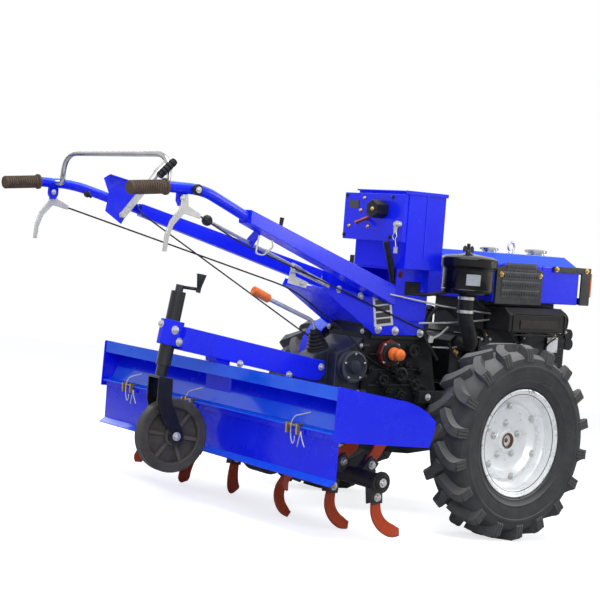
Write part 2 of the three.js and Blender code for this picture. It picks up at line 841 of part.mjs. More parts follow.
// Bracket welded inside the left tube, its top edge folded inwards.
const BRACKET_NEAR = TUBE_RADIUS - 4;
const BRACKET_FAR = TUBE_RADIUS;
const clutchBracket = join(
  plateBesideTube([
    [90, 739],
    [108, 751.5],
    [166, 738],
    [198, 692],
    [153, 602],
    [101, 639],
    [109, 693],
  ], BRACKET_NEAR, BRACKET_FAR),
  plateBesideTube([[108, 748], [108, 751.5], [166, 738], [166, 734.5]], BRACKET_NEAR, BRACKET_FAR + 14),
);

// A strap from its pivot on the bracket, with a grip in two thicknesses at its end.
const leverInset = BRACKET_FAR + FIT;
const gripInset = leverInset + 2;
add(tractor, 'clutch_lever', join(
  plateBesideTube([
    [147, 622],
    [144, 634],
    [152, 642],
    [196, 704],
    [230, 747],
    [242, 739],
    [211, 689],
    [163, 622],
  ], leverInset, leverInset + 4),
  bar(besideTube(156, 630, leverInset + 1), besideTube(156, 630, leverInset + 14), 8, 6),
  bar(besideTube(232, 736, gripInset), besideTube(254, 770, gripInset), 11, 14),
  bar(besideTube(252, 768, gripInset), besideTube(291, 814, gripInset), 13, 14, 11),
), zinc());

const gripStart = GRIP_END + GRIP_LENGTH;
const gripBore = TUBE_RADIUS + 2 * FIT;
const leverTop = GRIP_HEIGHT - TUBE_RADIUS - 2;
const droop = Math.atan(GRIP_DROOP / (GRIP_LENGTH - 6));
for (const side of SIDES) {
  const y = side.y * GRIP_HALF;
  const path = route([
    [GRIP_END + 6, y, GRIP_HEIGHT - GRIP_DROOP],
    [gripStart, y, GRIP_HEIGHT],
    [TUBE_BEND_X, y, GRIP_HEIGHT],
    inSocket(side, SOCKET_DEPTH - FIT),
  ], [1, 50, 0]);
  const ear = sidePlate([
    [-1344, GRIP_HEIGHT - 4],
    [-1312, GRIP_HEIGHT - 4],
    [-1312, 676],
    [-1320, 662],
    [-1336, 662],
    [-1344, 676],
  ], y - 4, y + 4);
  const welded = side.y > 0 ? [ear, clutchBracket] : [ear];
  add(tractor, `handle_tube_${side.name}`, join(tube(path, TUBE_RADIUS, 14), ...welded), paint());

  const grip = turned([
    [gripBore, 2.5],
    [gripBore, GRIP_LENGTH - 4],
    [0, GRIP_LENGTH - 4],
    [0, GRIP_LENGTH],
    [gripBore + 1.4, GRIP_LENGTH],
    [gripBore + 2.9, GRIP_LENGTH - 3],
    [gripBore + 2.9, 9],
    [gripBore + 6.4, 8],
    [gripBore + 6.4, 2.5],
    [gripBore, 2.5],
  ], 24);
  grip.rotateZ(Math.PI / 2).rotateY(-droop).translate(gripStart, y, GRIP_HEIGHT);
  add(tractor, `grip_${side.name}`, grip, material(GRIP_BROWN, 0.85));

  const leverPivot = y + side.y * (4 + FIT);
  add(tractor, `steering_lever_${side.name}`, sidePlate([
    [-1331, leverTop],
    [-1314, leverTop],
    [-1310, 664],
    [-1270, 646],
    [-1270, 633],
    [-1322, 644],
    [-1352, 612],
    [-1365, 578],
    [-1369, 541],
    [-1380, 541],
    [-1377, 584],
    [-1364, 622],
    [-1336, 656],
  ], leverPivot, leverPivot + side.y * 7), zinc());
}

// Bent chrome hoop across both handle tubes, its feet turned outwards into them.
const HOOP_X = -1331;
const HOOP_HALF = 290;
const HOOP_TOP = 800;
const hoopFoot = GRIP_HALF - TUBE_RADIUS - FIT;
const hoopPath = route([
  [HOOP_X, -hoopFoot, GRIP_HEIGHT],
  [HOOP_X, -HOOP_HALF, GRIP_HEIGHT],
  [HOOP_X, -HOOP_HALF, HOOP_TOP],
  [HOOP_X, HOOP_HALF, HOOP_TOP],
  [HOOP_X, HOOP_HALF, GRIP_HEIGHT],
  [HOOP_X, hoopFoot, GRIP_HEIGHT],
], [14, 74, 74, 14]);
add(tractor, 'handle_hoop', tube(hoopPath, 8, 10, 7), chrome());

// Control cables, from the levers down to the gearbox.
const CABLE_RADIUS = 2.5;
const leverEnd = GRIP_HALF + 8;
const cables = {
  steering_cable_right: [
    [-1268.2, -leverEnd, 639],
    [-1070, -270, 576],
    [-675, -150, 480],
    [-541, -112, 445],
    [-184, -108, 330],
  ],
  steering_cable_left: [
    [-1268.2, leverEnd, 639],
    [-611, 60, 438.6],
    [-473, -88, 297],
    [-424, -96, 244],
    [-377, -96, 222],
    [-138, -97, 136],
  ],
  clutch_cable: [
    besideTube(197, 664, leverInset + 7.2),
    besideTube(204, 640, 54),
    [-551, 84, 307],
    [-500, 94, 285],
    [-410, 93.2, 262],
  ],
};
for (const [name, points] of Object.entries(cables)) {
  add(tractor, name, tube(route(points, 60), CABLE_RADIUS, 6, 4), material(BLACK, 0.6));
}

// ---------------------------------------------------------------- control box

add(tractor, 'control_box', join(
  box(BOX_REAR, -165, -140, 108, POST_TOP + FIT, 773),
  box(-334, -161, -143, 111, 772, BOX_TOP),
), paint());
add(tractor, 'control_panel', box(BOX_REAR - 20, BOX_REAR - FIT, -137, 155, 611, 764), paint());
const RELAY_Y = -40;
add(tractor, 'relay_case', cut(
  bar([BOX_REAR - 20 - FIT, RELAY_Y, 712], [BOX_REAR - 70, RELAY_Y, 712], 30, 6),
  box(BOX_REAR - 74, BOX_REAR - 14, RELAY_Y - 40, RELAY_Y + 40, 600, 684),
), material(BLACK, 0.4));

// ---------------------------------------------------------------- tiller

// The tiller case carries the rotor shaft in a plain bore.
const caseTip = new THREE.Shape();
caseTip.moveTo(CASING_REAR - FIT, 40 - FIT);
caseTip.lineTo(-640 - FIT, 40 - FIT);
caseTip.lineTo(-640 - FIT, 120);
caseTip.lineTo(-690, 60);
caseTip.lineTo(-785, -50);
caseTip.absarc(ROTOR.x, ROTOR.z, 66, Math.PI * 0.92, Math.PI * 1.75, false);
caseTip.lineTo(-585, -60);
caseTip.lineTo(CASING_REAR - FIT, -10);
caseTip.closePath();
add(tractor, 'tiller_case', cut(
  sidePlate(caseTip, -CASE_HALF, CASE_HALF, 16),
  bar([ROTOR.x, -CASE_HALF - 1, ROTOR.z], [ROTOR.x, CASE_HALF + 1, ROTOR.z], ROTOR_SHAFT_RADIUS + 0.8, 32),
), cast());

// Rotor: shaft, blade holders and curved tines.
const rotorParts = [
  bar([0, -ROTOR_HALF, 0], [0, ROTOR_HALF, 0], ROTOR_SHAFT_RADIUS, 24),
];
for (const side of SIDES) {
  const end = side.y * ROTOR_HALF;
  rotorParts.push(bar([0, end - side.y * 10, 0], [0, end + side.y * 6, 0], 32, 24));
}
// The tip of a tine in the plane of the shank, which points up, and its angle.
const TINE_TIP = { x: -46, z: TINE_RADIUS - 3.2 };
const TINE_TIP_ANGLE = Math.atan2(TINE_TIP.x, TINE_TIP.z);

// One tine: a straight shank in its holder, then a sickle bend ending in a side blade.
function tineGeometry(side) {
  const blade = new THREE.Shape();
  blade.moveTo(16, 70);
  blade.lineTo(-16, 70);
  blade.quadraticCurveTo(-20, 128, -58, TINE_RADIUS - 22);
  blade.lineTo(TINE_TIP.x, TINE_TIP.z);
  blade.quadraticCurveTo(6, TINE_RADIUS - 18, 16, 70);
  const flat = new THREE.ExtrudeGeometry(blade, { depth: 8, bevelEnabled: false, curveSegments: 4 });
  flat.rotateX(Math.PI / 2).translate(0, 4, 0);
  const inner = Math.min(0, side.y * 44);
  const sideBlade = box(-56, -38, inner, inner + 44, TINE_RADIUS - 27, TINE_RADIUS - 19);
  return join(flat, sideBlade);
}

// The tip of each tine, in degrees back from straight down, from the middle outwards.
// On each side two tips straddle the lowest point, so the tiller stands on them.
const TINE_ROWS = {
  right: [165, 14, -115, 70, -14, 125, -160, -28],
  left: [-160, -14, 120, -115, 14, 165, -75, 42],
};
const TINE_FIRST_Y = 92;
const TINE_LAST_Y = ROTOR_HALF - 40;
for (const side of SIDES) {
  const rows = TINE_ROWS[side.name];
  rows.forEach((tipAngle, row) => {
    const y = THREE.MathUtils.lerp(TINE_FIRST_Y, TINE_LAST_Y, row / (rows.length - 1));
    const tine = join(box(-20, 20, -5, 5, 10, 100), tineGeometry(side));
    tine.rotateY(Math.PI + THREE.MathUtils.degToRad(tipAngle) - TINE_TIP_ANGLE);
    rotorParts.push(tine.translate(0, side.y * y, 0));
  });
}
const rotor = new THREE.Group();
rotor.position.set(ROTOR.x, 0, ROTOR.z);
tractor.add(rotor);
const rotorMesh = add(rotor, 'tiller_rotor', join(...rotorParts), material(TINE_RED, 0.5));

// Hood: a sheet over the rotor, folded down at the rear, with a sloping rear panel and
// the ledge that the flap hangs from. It is slotted round the tiller case.
const topLine = [
  [HOOD_REAR, HOOD_TOP],
  [-706, 170],
  [-645, 151],
  [HOOD_FRONT, HOOD_FRONT_TOP],
];
const topSlope = (HOOD_TOP - topLine[1][1]) / (topLine[1][0] - HOOD_REAR);
const topAt = (x) => HOOD_TOP - (x - HOOD_REAR) * topSlope;
const hoodSheet = join(
  sidePlate([
    ...topLine,
    [HOOD_FRONT - 3, HOOD_FRONT_TOP - 3],
    [-646.5, 147.2],
    [-706.5, 166],
    [HOOD_REAR + SHEET, HOOD_TOP - SHEET],
    [HOOD_REAR + SHEET, HOOD_TOP - 38],
    [HOOD_REAR, HOOD_TOP - 38],
  ], -HOOD_HALF, HOOD_HALF),
  sidePlate([
    [-868, topAt(-868) - 1],
    [-862, topAt(-862) - 1],
    [-922, HINGE.z + 12],
    [-956, HINGE.z + 8],
    [-956, HINGE.z + 12],
    [-924, HINGE.z + 17],
  ], -HOOD_HALF, HOOD_HALF),
);
const slot = box(-800, -560, -CASE_HALF - 4, CASE_HALF + 4, 40, 220);
const wall = new THREE.Shape();
wall.moveTo(HOOD_REAR - 8, HINGE.z - 6);
wall.lineTo(HOOD_REAR - 4, HOOD_TOP - 2);
wall.lineTo(HOOD_REAR, HOOD_TOP + 1);
wall.lineTo(-706, 172);
wall.quadraticCurveTo(-640, 158, -588, 113);
wall.lineTo(-592, 79);
wall.lineTo(-607, 39);
wall.closePath();

// Three lines of hinge tubes along the ledge, the flap's tubes between the hood's.
const HINGE_LINES = [-430, 95, 440];
const hoodHinges = HINGE_LINES.flatMap((y) => [-1, 1].flatMap((end) => [
  bar([HINGE.x, y + end * 25, HINGE.z], [HINGE.x, y + end * 44, HINGE.z], 7, 12),
  box(HINGE.x - 2, HINGE.x + 2, y + end * 34.5 - 9.5, y + end * 34.5 + 9.5, HINGE.z, HINGE.z + 10),
]));
add(tractor, 'tiller_hood', join(
  cut(hoodSheet, slot),
  sidePlate(wall, -HOOD_HALF - SHEET, -HOOD_HALF + 0.5),
  sidePlate(wall, HOOD_HALF - 0.5, HOOD_HALF + SHEET),
  ...hoodHinges,
), paint());

// Rear flap, hung from the ledge by three hinge tubes.
const flap = new THREE.Group();
flap.position.set(HINGE.x, 0, HINGE.z);
tractor.add(flap);
add(flap, 'rear_flap', join(
  sidePlate([
    [8, -2],
    [12, -2],
    [12, 18 - FLAP_DEPTH],
    [-10, 4 - FLAP_DEPTH],
    [-12, 1 - FLAP_DEPTH + 6],
    [8, 20 - FLAP_DEPTH],
  ], -HOOD_HALF + 2, HOOD_HALF - 2),
  ...HINGE_LINES.map((y) => box(0, 10, y - 24, y + 24, -6, -2)),
  ...HINGE_LINES.map((y) => bar([0, y - 24.3, 0], [0, y + 24.3, 0], 6, 12)),
), paint());

// Tail beam from the rear casing to the gauge-wheel clamp, its end square to the post.
const CLAMP_FRONT = 24;
function onPost(x, z) {
  return [
    POST_FOOT.x + x * Math.cos(POST_LEAN) + z * Math.sin(POST_LEAN),
    POST_FOOT.z - x * Math.sin(POST_LEAN) + z * Math.cos(POST_LEAN),
  ];
}
const BEAM_HALF = 46;
const beamSide = [
  [-546, 222],
  onPost(CLAMP_FRONT + FIT, 156),
  onPost(CLAMP_FRONT + FIT, 87),
  [-590, 160],
  [-560, 160],
  [-540, 184],
];
const beamHollow = sidePlate([
  [-500, 270],
  [-660, 262],
  [-660, 100],
  [-500, 100],
], -CASE_HALF - FIT, CASE_HALF + FIT);
add(tractor, 'tail_beam', cut(join(
  sidePlate(beamSide, -BEAM_HALF, BEAM_HALF),
  sidePlate([[-950, topAt(-950) + 0.4], [-950, 250], [-900, 250], [-900, topAt(-900) + 0.4]], -30, 30),
), beamHollow), paint());

// Gauge wheel: a clamped sleeve, a post that screws down inside it, and a forked wheel.
const post = new THREE.Group();
post.position.set(POST_FOOT.x, 0, POST_FOOT.z);
post.rotation.y = POST_LEAN;
tractor.add(post);
const SLEEVE_TOP = 254;
add(post, 'gauge_sleeve', cut(
  bar([0, 0, 32], [0, 0, SLEEVE_TOP], SLEEVE_RADIUS, 28),
  bar([0, 0, 20], [0, 0, SLEEVE_TOP - 10], INNER_POST_RADIUS + 1, 28),
), black());
add(post, 'gauge_clamp', cut(
  deck([[-48, -30], [CLAMP_FRONT, -30], [CLAMP_FRONT, 30], [-20, 30], [-48, -12]], 93.5, 167),
  bar([0, 0, 80], [0, 0, 180], SLEEVE_RADIUS + FIT, 28),
), paint());
add(post, 'gauge_post', bar([0, 0, 1], [0, 0, 222], INNER_POST_RADIUS, 28), black());
const CRANK_ARM = { x: 47, y: -30 };
add(post, 'gauge_crank', join(
  bar([0, 0, SLEEVE_TOP + FIT], [0, 0, 274], 12, 16),
  bar([0, 0, 268], [CRANK_ARM.x, CRANK_ARM.y, 272], 5, 12),
  bar([CRANK_ARM.x, CRANK_ARM.y, 262], [CRANK_ARM.x, CRANK_ARM.y, 278], 7, 12),
  bar([CRANK_ARM.x, CRANK_ARM.y, 277], [CRANK_ARM.x, CRANK_ARM.y, 317], 7, 16, 15),
), black());

const fork = new THREE.Group();
fork.rotation.z = POST_SWIVEL;
post.add(fork);
const FORK_HUB = 24;
const armOutline = new THREE.Shape();
armOutline.moveTo(-22.5, 0);
armOutline.lineTo(-13, -72);
armOutline.quadraticCurveTo(8, -122, FORK_LEAD - 21, -FORK_DROP + 12);
armOutline.absarc(FORK_LEAD, -FORK_DROP, FORK_HUB, Math.PI * 0.84, Math.PI * 2.1, false);
armOutline.quadraticCurveTo(70, -116, 34, -65);
armOutline.lineTo(22.5, 0);
armOutline.closePath();
const armOuter = FORK_ARM_Y + 6;
add(fork, 'gauge_fork', join(
  sidePlate(armOutline, -armOuter, -FORK_ARM_Y, 8),
  sidePlate(armOutline, FORK_ARM_Y, armOuter, 8),
  box(-22.5, 22.5, -armOuter, armOuter, -7, 0),
  bar([FORK_LEAD, -armOuter - 8, -FORK_DROP], [FORK_LEAD, armOuter + 8, -FORK_DROP], 8, 16),
), black());
add(fork, 'gauge_wheel', turned([
  [9, -26],
  [24, -26],
  [24, -9],
  [88, -6],
  [88, -GAUGE_HALF],
  [GAUGE_RADIUS, -GAUGE_HALF + 5],
  [GAUGE_RADIUS, GAUGE_HALF - 5],
  [88, GAUGE_HALF],
  [88, 6],
  [24, 9],
  [24, 26],
  [9, 26],
  [9, -26],
], 28).translate(FORK_LEAD, 0, -FORK_DROP), material(0x5b564f, 0.7));

// ---------------------------------------------------------------- stance

// The pitch at which the tyres and two rows of tines rest on one floor. A tyre rests on
// one facet, so its height is a little under its radius.
rotorMesh.geometry.computeBoundingBox();
const tineReach = -rotorMesh.geometry.boundingBox.min.z;
const tyreReach = TYRE_RADIUS * Math.cos(Math.PI / WHEEL_SEGMENTS);
let pitch = 0;
for (let i = 0; i < 20; i++) {
  const rise = tyreReach - tineReach + (ROTOR.z - AXLE.z) * Math.cos(pitch);
  pitch = Math.asin(rise / (AXLE.x - ROTOR.x));
}
tractor.rotation.y = -pitch;
rotor.rotation.y = pitch;
for (const wheel of wheels) wheel.rotateY((pitch + Math.PI / WHEEL_SEGMENTS) * (wheel.rotation.x ? -1 : 1));

// The object's own origin: the middle of its footprint, on the floor.
const walkingTractor = new THREE.Group();
walkingTractor.add(tractor);
walkingTractor.updateMatrixWorld(true);
const extent = new THREE.Box3().setFromObject(walkingTractor, true);
const middle = extent.getCenter(new THREE.Vector3());
tractor.position.set(-middle.x, -middle.y, -extent.min.z);

export default walkingTractor;
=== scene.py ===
# Walking tractor with a rotary tiller: the finished look of each piece, in metres, built
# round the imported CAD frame. Sizes inside the sections are millimetres in the tractor's
# own level frame, and TRACTOR carries them to the pitched stance in which it parks.
import json
import math
import random

import bmesh
import bpy
from mathutils import Matrix, Vector


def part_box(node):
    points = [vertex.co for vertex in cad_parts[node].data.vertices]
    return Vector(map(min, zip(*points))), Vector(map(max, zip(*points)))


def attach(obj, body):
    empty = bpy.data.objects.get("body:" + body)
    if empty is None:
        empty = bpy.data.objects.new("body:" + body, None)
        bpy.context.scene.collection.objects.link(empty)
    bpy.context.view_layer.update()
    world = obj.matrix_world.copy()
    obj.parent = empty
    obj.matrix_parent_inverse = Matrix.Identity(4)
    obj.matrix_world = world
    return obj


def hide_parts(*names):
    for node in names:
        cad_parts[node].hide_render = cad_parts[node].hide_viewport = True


# ------------------------------------------------------------------ stance
# The machine stands nose-up on its tyres and tines. The flat front face of its frame
# says how far it is pitched and where the level frame's datum lies.
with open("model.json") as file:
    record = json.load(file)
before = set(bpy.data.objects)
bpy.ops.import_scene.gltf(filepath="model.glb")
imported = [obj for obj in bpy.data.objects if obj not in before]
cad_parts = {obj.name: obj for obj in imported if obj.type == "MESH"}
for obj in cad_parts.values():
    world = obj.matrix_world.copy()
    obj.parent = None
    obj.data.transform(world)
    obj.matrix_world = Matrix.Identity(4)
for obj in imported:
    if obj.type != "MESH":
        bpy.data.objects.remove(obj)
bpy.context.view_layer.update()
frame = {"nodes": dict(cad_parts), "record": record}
front = next(m for m in frame["record"]["mounts"] if m["name"] == "front_frame_face")
PITCH = math.atan2(front["axis"][2], front["axis"][0])
TURN = Matrix.Rotation(-PITCH, 4, "Y")
FRONT_FACE = Vector((0.5, 0, 0.112))
MILLIMETRES = 0.001
TRACTOR = Matrix.Translation(Vector(front["pos_m"]) - TURN @ FRONT_FACE) @ TURN @ Matrix.Scale(MILLIMETRES, 4)

# ------------------------------------------------------------------ camera
# A long lens from the right rear, near the height of the wheels and rolled a little.
AZIMUTH = math.radians(51.578)
ELEVATION = math.radians(2.533)
ROLL = math.radians(4.36)
LENS = 87.77
SENSOR_WIDTH = 36
FURTHEST_SEEN = 60
STANDPOINT = (-3469.2, -3582.7, 610.3)
ahead = Vector((
    math.cos(AZIMUTH) * math.cos(ELEVATION),
    math.sin(AZIMUTH) * math.cos(ELEVATION),
    -math.sin(ELEVATION),
))
level = ahead.cross(Vector((0, 0, 1))).normalized()
upright = level.cross(ahead)
right = math.cos(ROLL) * level + math.sin(ROLL) * upright
up = math.cos(ROLL) * upright - math.sin(ROLL) * level
camera = bpy.data.objects.new("camera", bpy.data.cameras.new("camera"))
camera.data.lens = LENS
camera.data.sensor_width = SENSOR_WIDTH
camera.data.clip_end = FURTHEST_SEEN
axes = TURN.to_3x3() @ Matrix((right, up, -ahead)).transposed()
eye = TRACTOR @ Vector(STANDPOINT)
camera.matrix_world = Matrix.Translation(eye) @ axes.to_4x4()
bpy.context.scene.collection.objects.link(camera)
bpy.context.scene.camera = camera

# ------------------------------------------------------------------ studio
# A pale floor that fades into a white surround, a large soft lamp overhead and three
# fainter ones round the sides.
scene = bpy.context.scene
scene.view_settings.view_transform = "Standard"


def shader_tree(material):
    material.use_nodes = True
    tree = material.node_tree
    tree.nodes.clear()
    return tree


def add_node(tree, kind, **values):
    made = tree.nodes.new(kind)
    for key, value in values.items():
        setattr(made, key, value)
    return made


AIR_STRENGTH = 0.42
WHITE_STRENGTH = 1.0
FLOOR_GLOW = 0.72
FLOOR_HALF = 9.0
world = bpy.data.worlds.new("studio_air")
scene.world = world
tree = shader_tree(world)
air = add_node(tree, "ShaderNodeBackground")
air.inputs["Color"].default_value = (0.86, 0.92, 1.0, 1)
air.inputs["Strength"].default_value = AIR_STRENGTH
white = add_node(tree, "ShaderNodeBackground")
white.inputs["Color"].default_value = (1, 1, 1, 1)
white.inputs["Strength"].default_value = WHITE_STRENGTH
path = add_node(tree, "ShaderNodeLightPath")
seen = add_node(tree, "ShaderNodeMixShader")
shown = add_node(tree, "ShaderNodeMath", operation="MAXIMUM")
world_out = add_node(tree, "ShaderNodeOutputWorld")
tree.links.new(path.outputs["Is Camera Ray"], shown.inputs[0])
tree.links.new(path.outputs["Is Glossy Ray"], shown.inputs[1])
tree.links.new(shown.outputs[0], seen.inputs[0])
tree.links.new(air.outputs[0], seen.inputs[1])
tree.links.new(white.outputs[0], seen.inputs[2])
tree.links.new(seen.outputs[0], world_out.inputs[0])

floor_mesh = bpy.data.meshes.new("floor")
floor_corners = [(x * FLOOR_HALF, y * FLOOR_HALF, 0) for x, y in ((-1, -1), (1, -1), (1, 1), (-1, 1))]
floor_mesh.from_pydata(floor_corners, [], [(0, 1, 2, 3)])
floor = bpy.data.objects.new("floor", floor_mesh)
scene.collection.objects.link(floor)
pale = bpy.data.materials.new("pale_floor")
tree = shader_tree(pale)
matt = add_node(tree, "ShaderNodeBsdfDiffuse")
matt.inputs["Color"].default_value = (0.66, 0.66, 0.67, 1)
glow = add_node(tree, "ShaderNodeEmission")
glow.inputs["Color"].default_value = (1, 1, 1, 1)
lift = add_node(tree, "ShaderNodeMath", operation="MULTIPLY")
lift.inputs[1].default_value = FLOOR_GLOW
path = add_node(tree, "ShaderNodeLightPath")
both = add_node(tree, "ShaderNodeAddShader")
out = add_node(tree, "ShaderNodeOutputMaterial")
tree.links.new(path.outputs["Is Camera Ray"], lift.inputs[0])
tree.links.new(lift.outputs[0], glow.inputs["Strength"])
tree.links.new(matt.outputs[0], both.inputs[0])
tree.links.new(glow.outputs[0], both.inputs[1])
tree.links.new(both.outputs[0], out.inputs[0])
floor_mesh.materials.append(pale)


def lamp(name, place, aim, size, watts, tint):
    light = bpy.data.lights.new(name, "AREA")
    light.shape = "DISK"
    light.size = size
    light.energy = watts
    light.color = tint
    made = bpy.data.objects.new(name, light)
    made.location = place
    made.rotation_euler = (Vector(aim) - Vector(place)).to_track_quat("-Z", "Y").to_euler()
    scene.collection.objects.link(made)


lamp("overhead_lamp", (-0.6, -0.8, 3.6), (0, 0, 0.3), 3.0, 88, (1, 1, 1))
lamp("rear_right_lamp", (-2.6, -2.8, 1.9), (0, 0, 0.4), 1.6, 38, (1, 1, 1))
lamp("front_lamp", (3.0, -1.6, 1.8), (0.2, 0, 0.4), 1.6, 26, (1, 0.98, 0.95))
lamp("left_lamp", (0.2, 3.4, 1.9), (0, 0, 0.4), 1.8, 28, (0.96, 0.98, 1))

# ------------------------------------------------------------------ drive wheels
# Moulded tyres with two rows of curved lugs, on dished galvanised discs that are bolted
# to small hubs. The lugs of one side stand half a step round from the other's.


def merge(*shapes):
    points, faces = [], []
    for shape_points, shape_faces in shapes:
        first = len(points)
        points += shape_points
        faces += [[first + i for i in face] for face in shape_faces]
    return points, faces


def placed(shape, matrix):
    return [matrix @ Vector(p) for p in shape[0]], shape[1]


def moved(shape, x, y, z):
    return placed(shape, Matrix.Translation((x, y, z)))


def turned(profile, steps=64):
    """Rings of [radius, height] round the Y axis; a closed profile repeats its first point."""
    closed = profile[0] == profile[-1]
    rows = profile[:-1] if closed else profile
    points, faces = [], []
    for i in range(steps):
        angle = 2 * math.pi * i / steps
        points += [Vector((r * math.cos(angle), h, r * math.sin(angle))) for r, h in rows]
    n = len(rows)
    for i in range(steps):
        near, far = i * n, (i + 1) % steps * n
        for j in range(n if closed else n - 1):
            k = (j + 1) % n
            faces.append([near + j, far + j, far + k, near + k])
    return points, faces


def swept(points, radius, sides=12, flat=None):
    """A round bar through points, or a flat one where flat is (width, thickness, width axis)."""
    points = [Vector(p) for p in points]
    runs = [(b - a).normalized() for a, b in zip(points, points[1:])]
    radii = radius if isinstance(radius, (list, tuple)) else [radius] * len(points)
    across = Vector(flat[2]) if flat else Vector((0.13, 0.21, 1))
    rings, faces = [], []
    for i, centre in enumerate(points):
        along = (runs[max(i - 1, 0)] + runs[min(i, len(runs) - 1)]).normalized()
        across = (across - along * across.dot(along)).normalized()
        other = along.cross(across)
        if flat:
            w = flat[0][i] / 2 if isinstance(flat[0], (list, tuple)) else flat[0] / 2
            t = flat[1] / 2
            corners = ((-1, -1), (1, -1), (1, 1), (-1, 1))
            rings += [centre + across * a * w + other * b * t for a, b in corners]
        else:
            for j in range(sides):
                angle = 2 * math.pi * j / sides
                aside = across * (radii[i] * math.cos(angle))
                upward = other * (radii[i] * math.sin(angle))
                rings.append(centre + aside + upward)
    n = 4 if flat else sides
    for i in range(len(points) - 1):
        for j in range(n):
            k = (j + 1) % n
            faces.append([i * n + j, i * n + k, (i + 1) * n + k, (i + 1) * n + j])
    faces.append([n - 1 - j for j in range(n)])
    faces.append([(len(points) - 1) * n + j for j in range(n)])
    return rings, faces


def aimed(shape, place, direction):
    """A shape made along +Y, set at a place and pointed in a direction."""
    turn = Vector(direction).to_track_quat("Y", "Z").to_matrix().to_4x4()
    return placed(shape, Matrix.Translation(place) @ turn)


def bolt(place, direction, size=6, height=5, washer=True):
    head = turned([[0, 0], [size, 0], [size, height - 0.8], [size * 0.8, height], [0, height]], 6)
    parts = [head]
    if washer:
        parts = [moved(head, 0, 1.5, 0),
                 turned([[0, 0], [size * 1.45, 0], [size * 1.45, 1.6], [0, 1.6]], 20)]
    stud = turned([[0, height], [size * 0.45, height], [size * 0.45, height + 3], [0, height + 3.4]], 10)
    return aimed(merge(*parts, stud), place, direction)


def bolt_circle(centre, radius, count, first, outward, size, height, washer=True):
    """Bolts evenly round a centre, facing along Y; first is the first one's angle in degrees."""
    x, y, z = centre
    angles = [math.radians(first + 360 / count * i) for i in range(count)]
    places = [(x + radius * math.cos(a), y, z + radius * math.sin(a)) for a in angles]
    return [bolt(place, (0, outward, 0), size, height, washer) for place in places]


def surface_marks():
    """Fine grain and broad patches, to break up a colour and a gloss, and how far a face points up, which
    finish uses to paint lighter tops as painted highlight.
    """
    group = bpy.data.node_groups.new("surface_marks", "ShaderNodeTree")
    face = group.interface
    face.new_socket("Grain Scale", in_out="INPUT", socket_type="NodeSocketFloat").default_value = 400
    face.new_socket("Patch Scale", in_out="INPUT", socket_type="NodeSocketFloat").default_value = 9
    face.new_socket("Grain", in_out="OUTPUT", socket_type="NodeSocketFloat")
    face.new_socket("Patches", in_out="OUTPUT", socket_type="NodeSocketFloat")
    face.new_socket("Upward", in_out="OUTPUT", socket_type="NodeSocketFloat")
    start = add_node(group, "NodeGroupInput")
    end = add_node(group, "NodeGroupOutput")
    place = add_node(group, "ShaderNodeTexCoord")
    fine = add_node(group, "ShaderNodeTexNoise")
    fine.inputs["Detail"].default_value = 4
    broad = add_node(group, "ShaderNodeTexNoise")
    broad.inputs["Detail"].default_value = 5
    broad.inputs["Roughness"].default_value = 0.62
    shape = add_node(group, "ShaderNodeNewGeometry")
    parts = add_node(group, "ShaderNodeSeparateXYZ")
    top = add_node(group, "ShaderNodeMapRange")
    top.inputs["From Min"].default_value = 0.35
    top.inputs["From Max"].default_value = 0.95
    join = group.links.new
    join(place.outputs["Object"], fine.inputs["Vector"])
    join(place.outputs["Object"], broad.inputs["Vector"])
    join(start.outputs["Grain Scale"], fine.inputs["Scale"])
    join(start.outputs["Patch Scale"], broad.inputs["Scale"])
    join(fine.outputs["Fac"], end.inputs["Grain"])
    join(broad.outputs["Fac"], end.inputs["Patches"])
    join(shape.outputs["Normal"], parts.inputs[0])
    join(parts.outputs["Z"], top.inputs["Value"])
    join(top.outputs[0], end.inputs["Upward"])
    return group


MARKS = surface_marks()


def edge_wear():
    """Where corners are rubbed: high on convex edges, broken up by patches."""
    group = bpy.data.node_groups.new("edge_wear", "ShaderNodeTree")
    face = group.interface
    face.new_socket("Amount", in_out="INPUT", socket_type="NodeSocketFloat").default_value = 0.5
    face.new_socket("Worn", in_out="OUTPUT", socket_type="NodeSocketFloat")
    start = add_node(group, "NodeGroupInput")
    end = add_node(group, "NodeGroupOutput")
    shape = add_node(group, "ShaderNodeNewGeometry")
    sharp = add_node(group, "ShaderNodeMapRange")
    sharp.inputs["From Min"].default_value = 0.53
    sharp.inputs["From Max"].default_value = 0.6
    place = add_node(group, "ShaderNodeTexCoord")
    patch = add_node(group, "ShaderNodeTexNoise")
    patch.inputs["Scale"].default_value = 60
    patch.inputs["Detail"].default_value = 6
    keep = add_node(group, "ShaderNodeMath", operation="MULTIPLY")
    scale = add_node(group, "ShaderNodeMath", operation="MULTIPLY", use_clamp=True)
    join = group.links.new
    join(shape.outputs["Pointiness"], sharp.inputs["Value"])
    join(place.outputs["Object"], patch.inputs["Vector"])
    join(sharp.outputs[0], keep.inputs[0])
    join(patch.outputs["Fac"], keep.inputs[1])
    join(keep.outputs[0], scale.inputs[0])
    join(start.outputs["Amount"], scale.inputs[1])
    join(scale.outputs[0], end.inputs["Worn"])
    return group


WEAR = edge_wear()


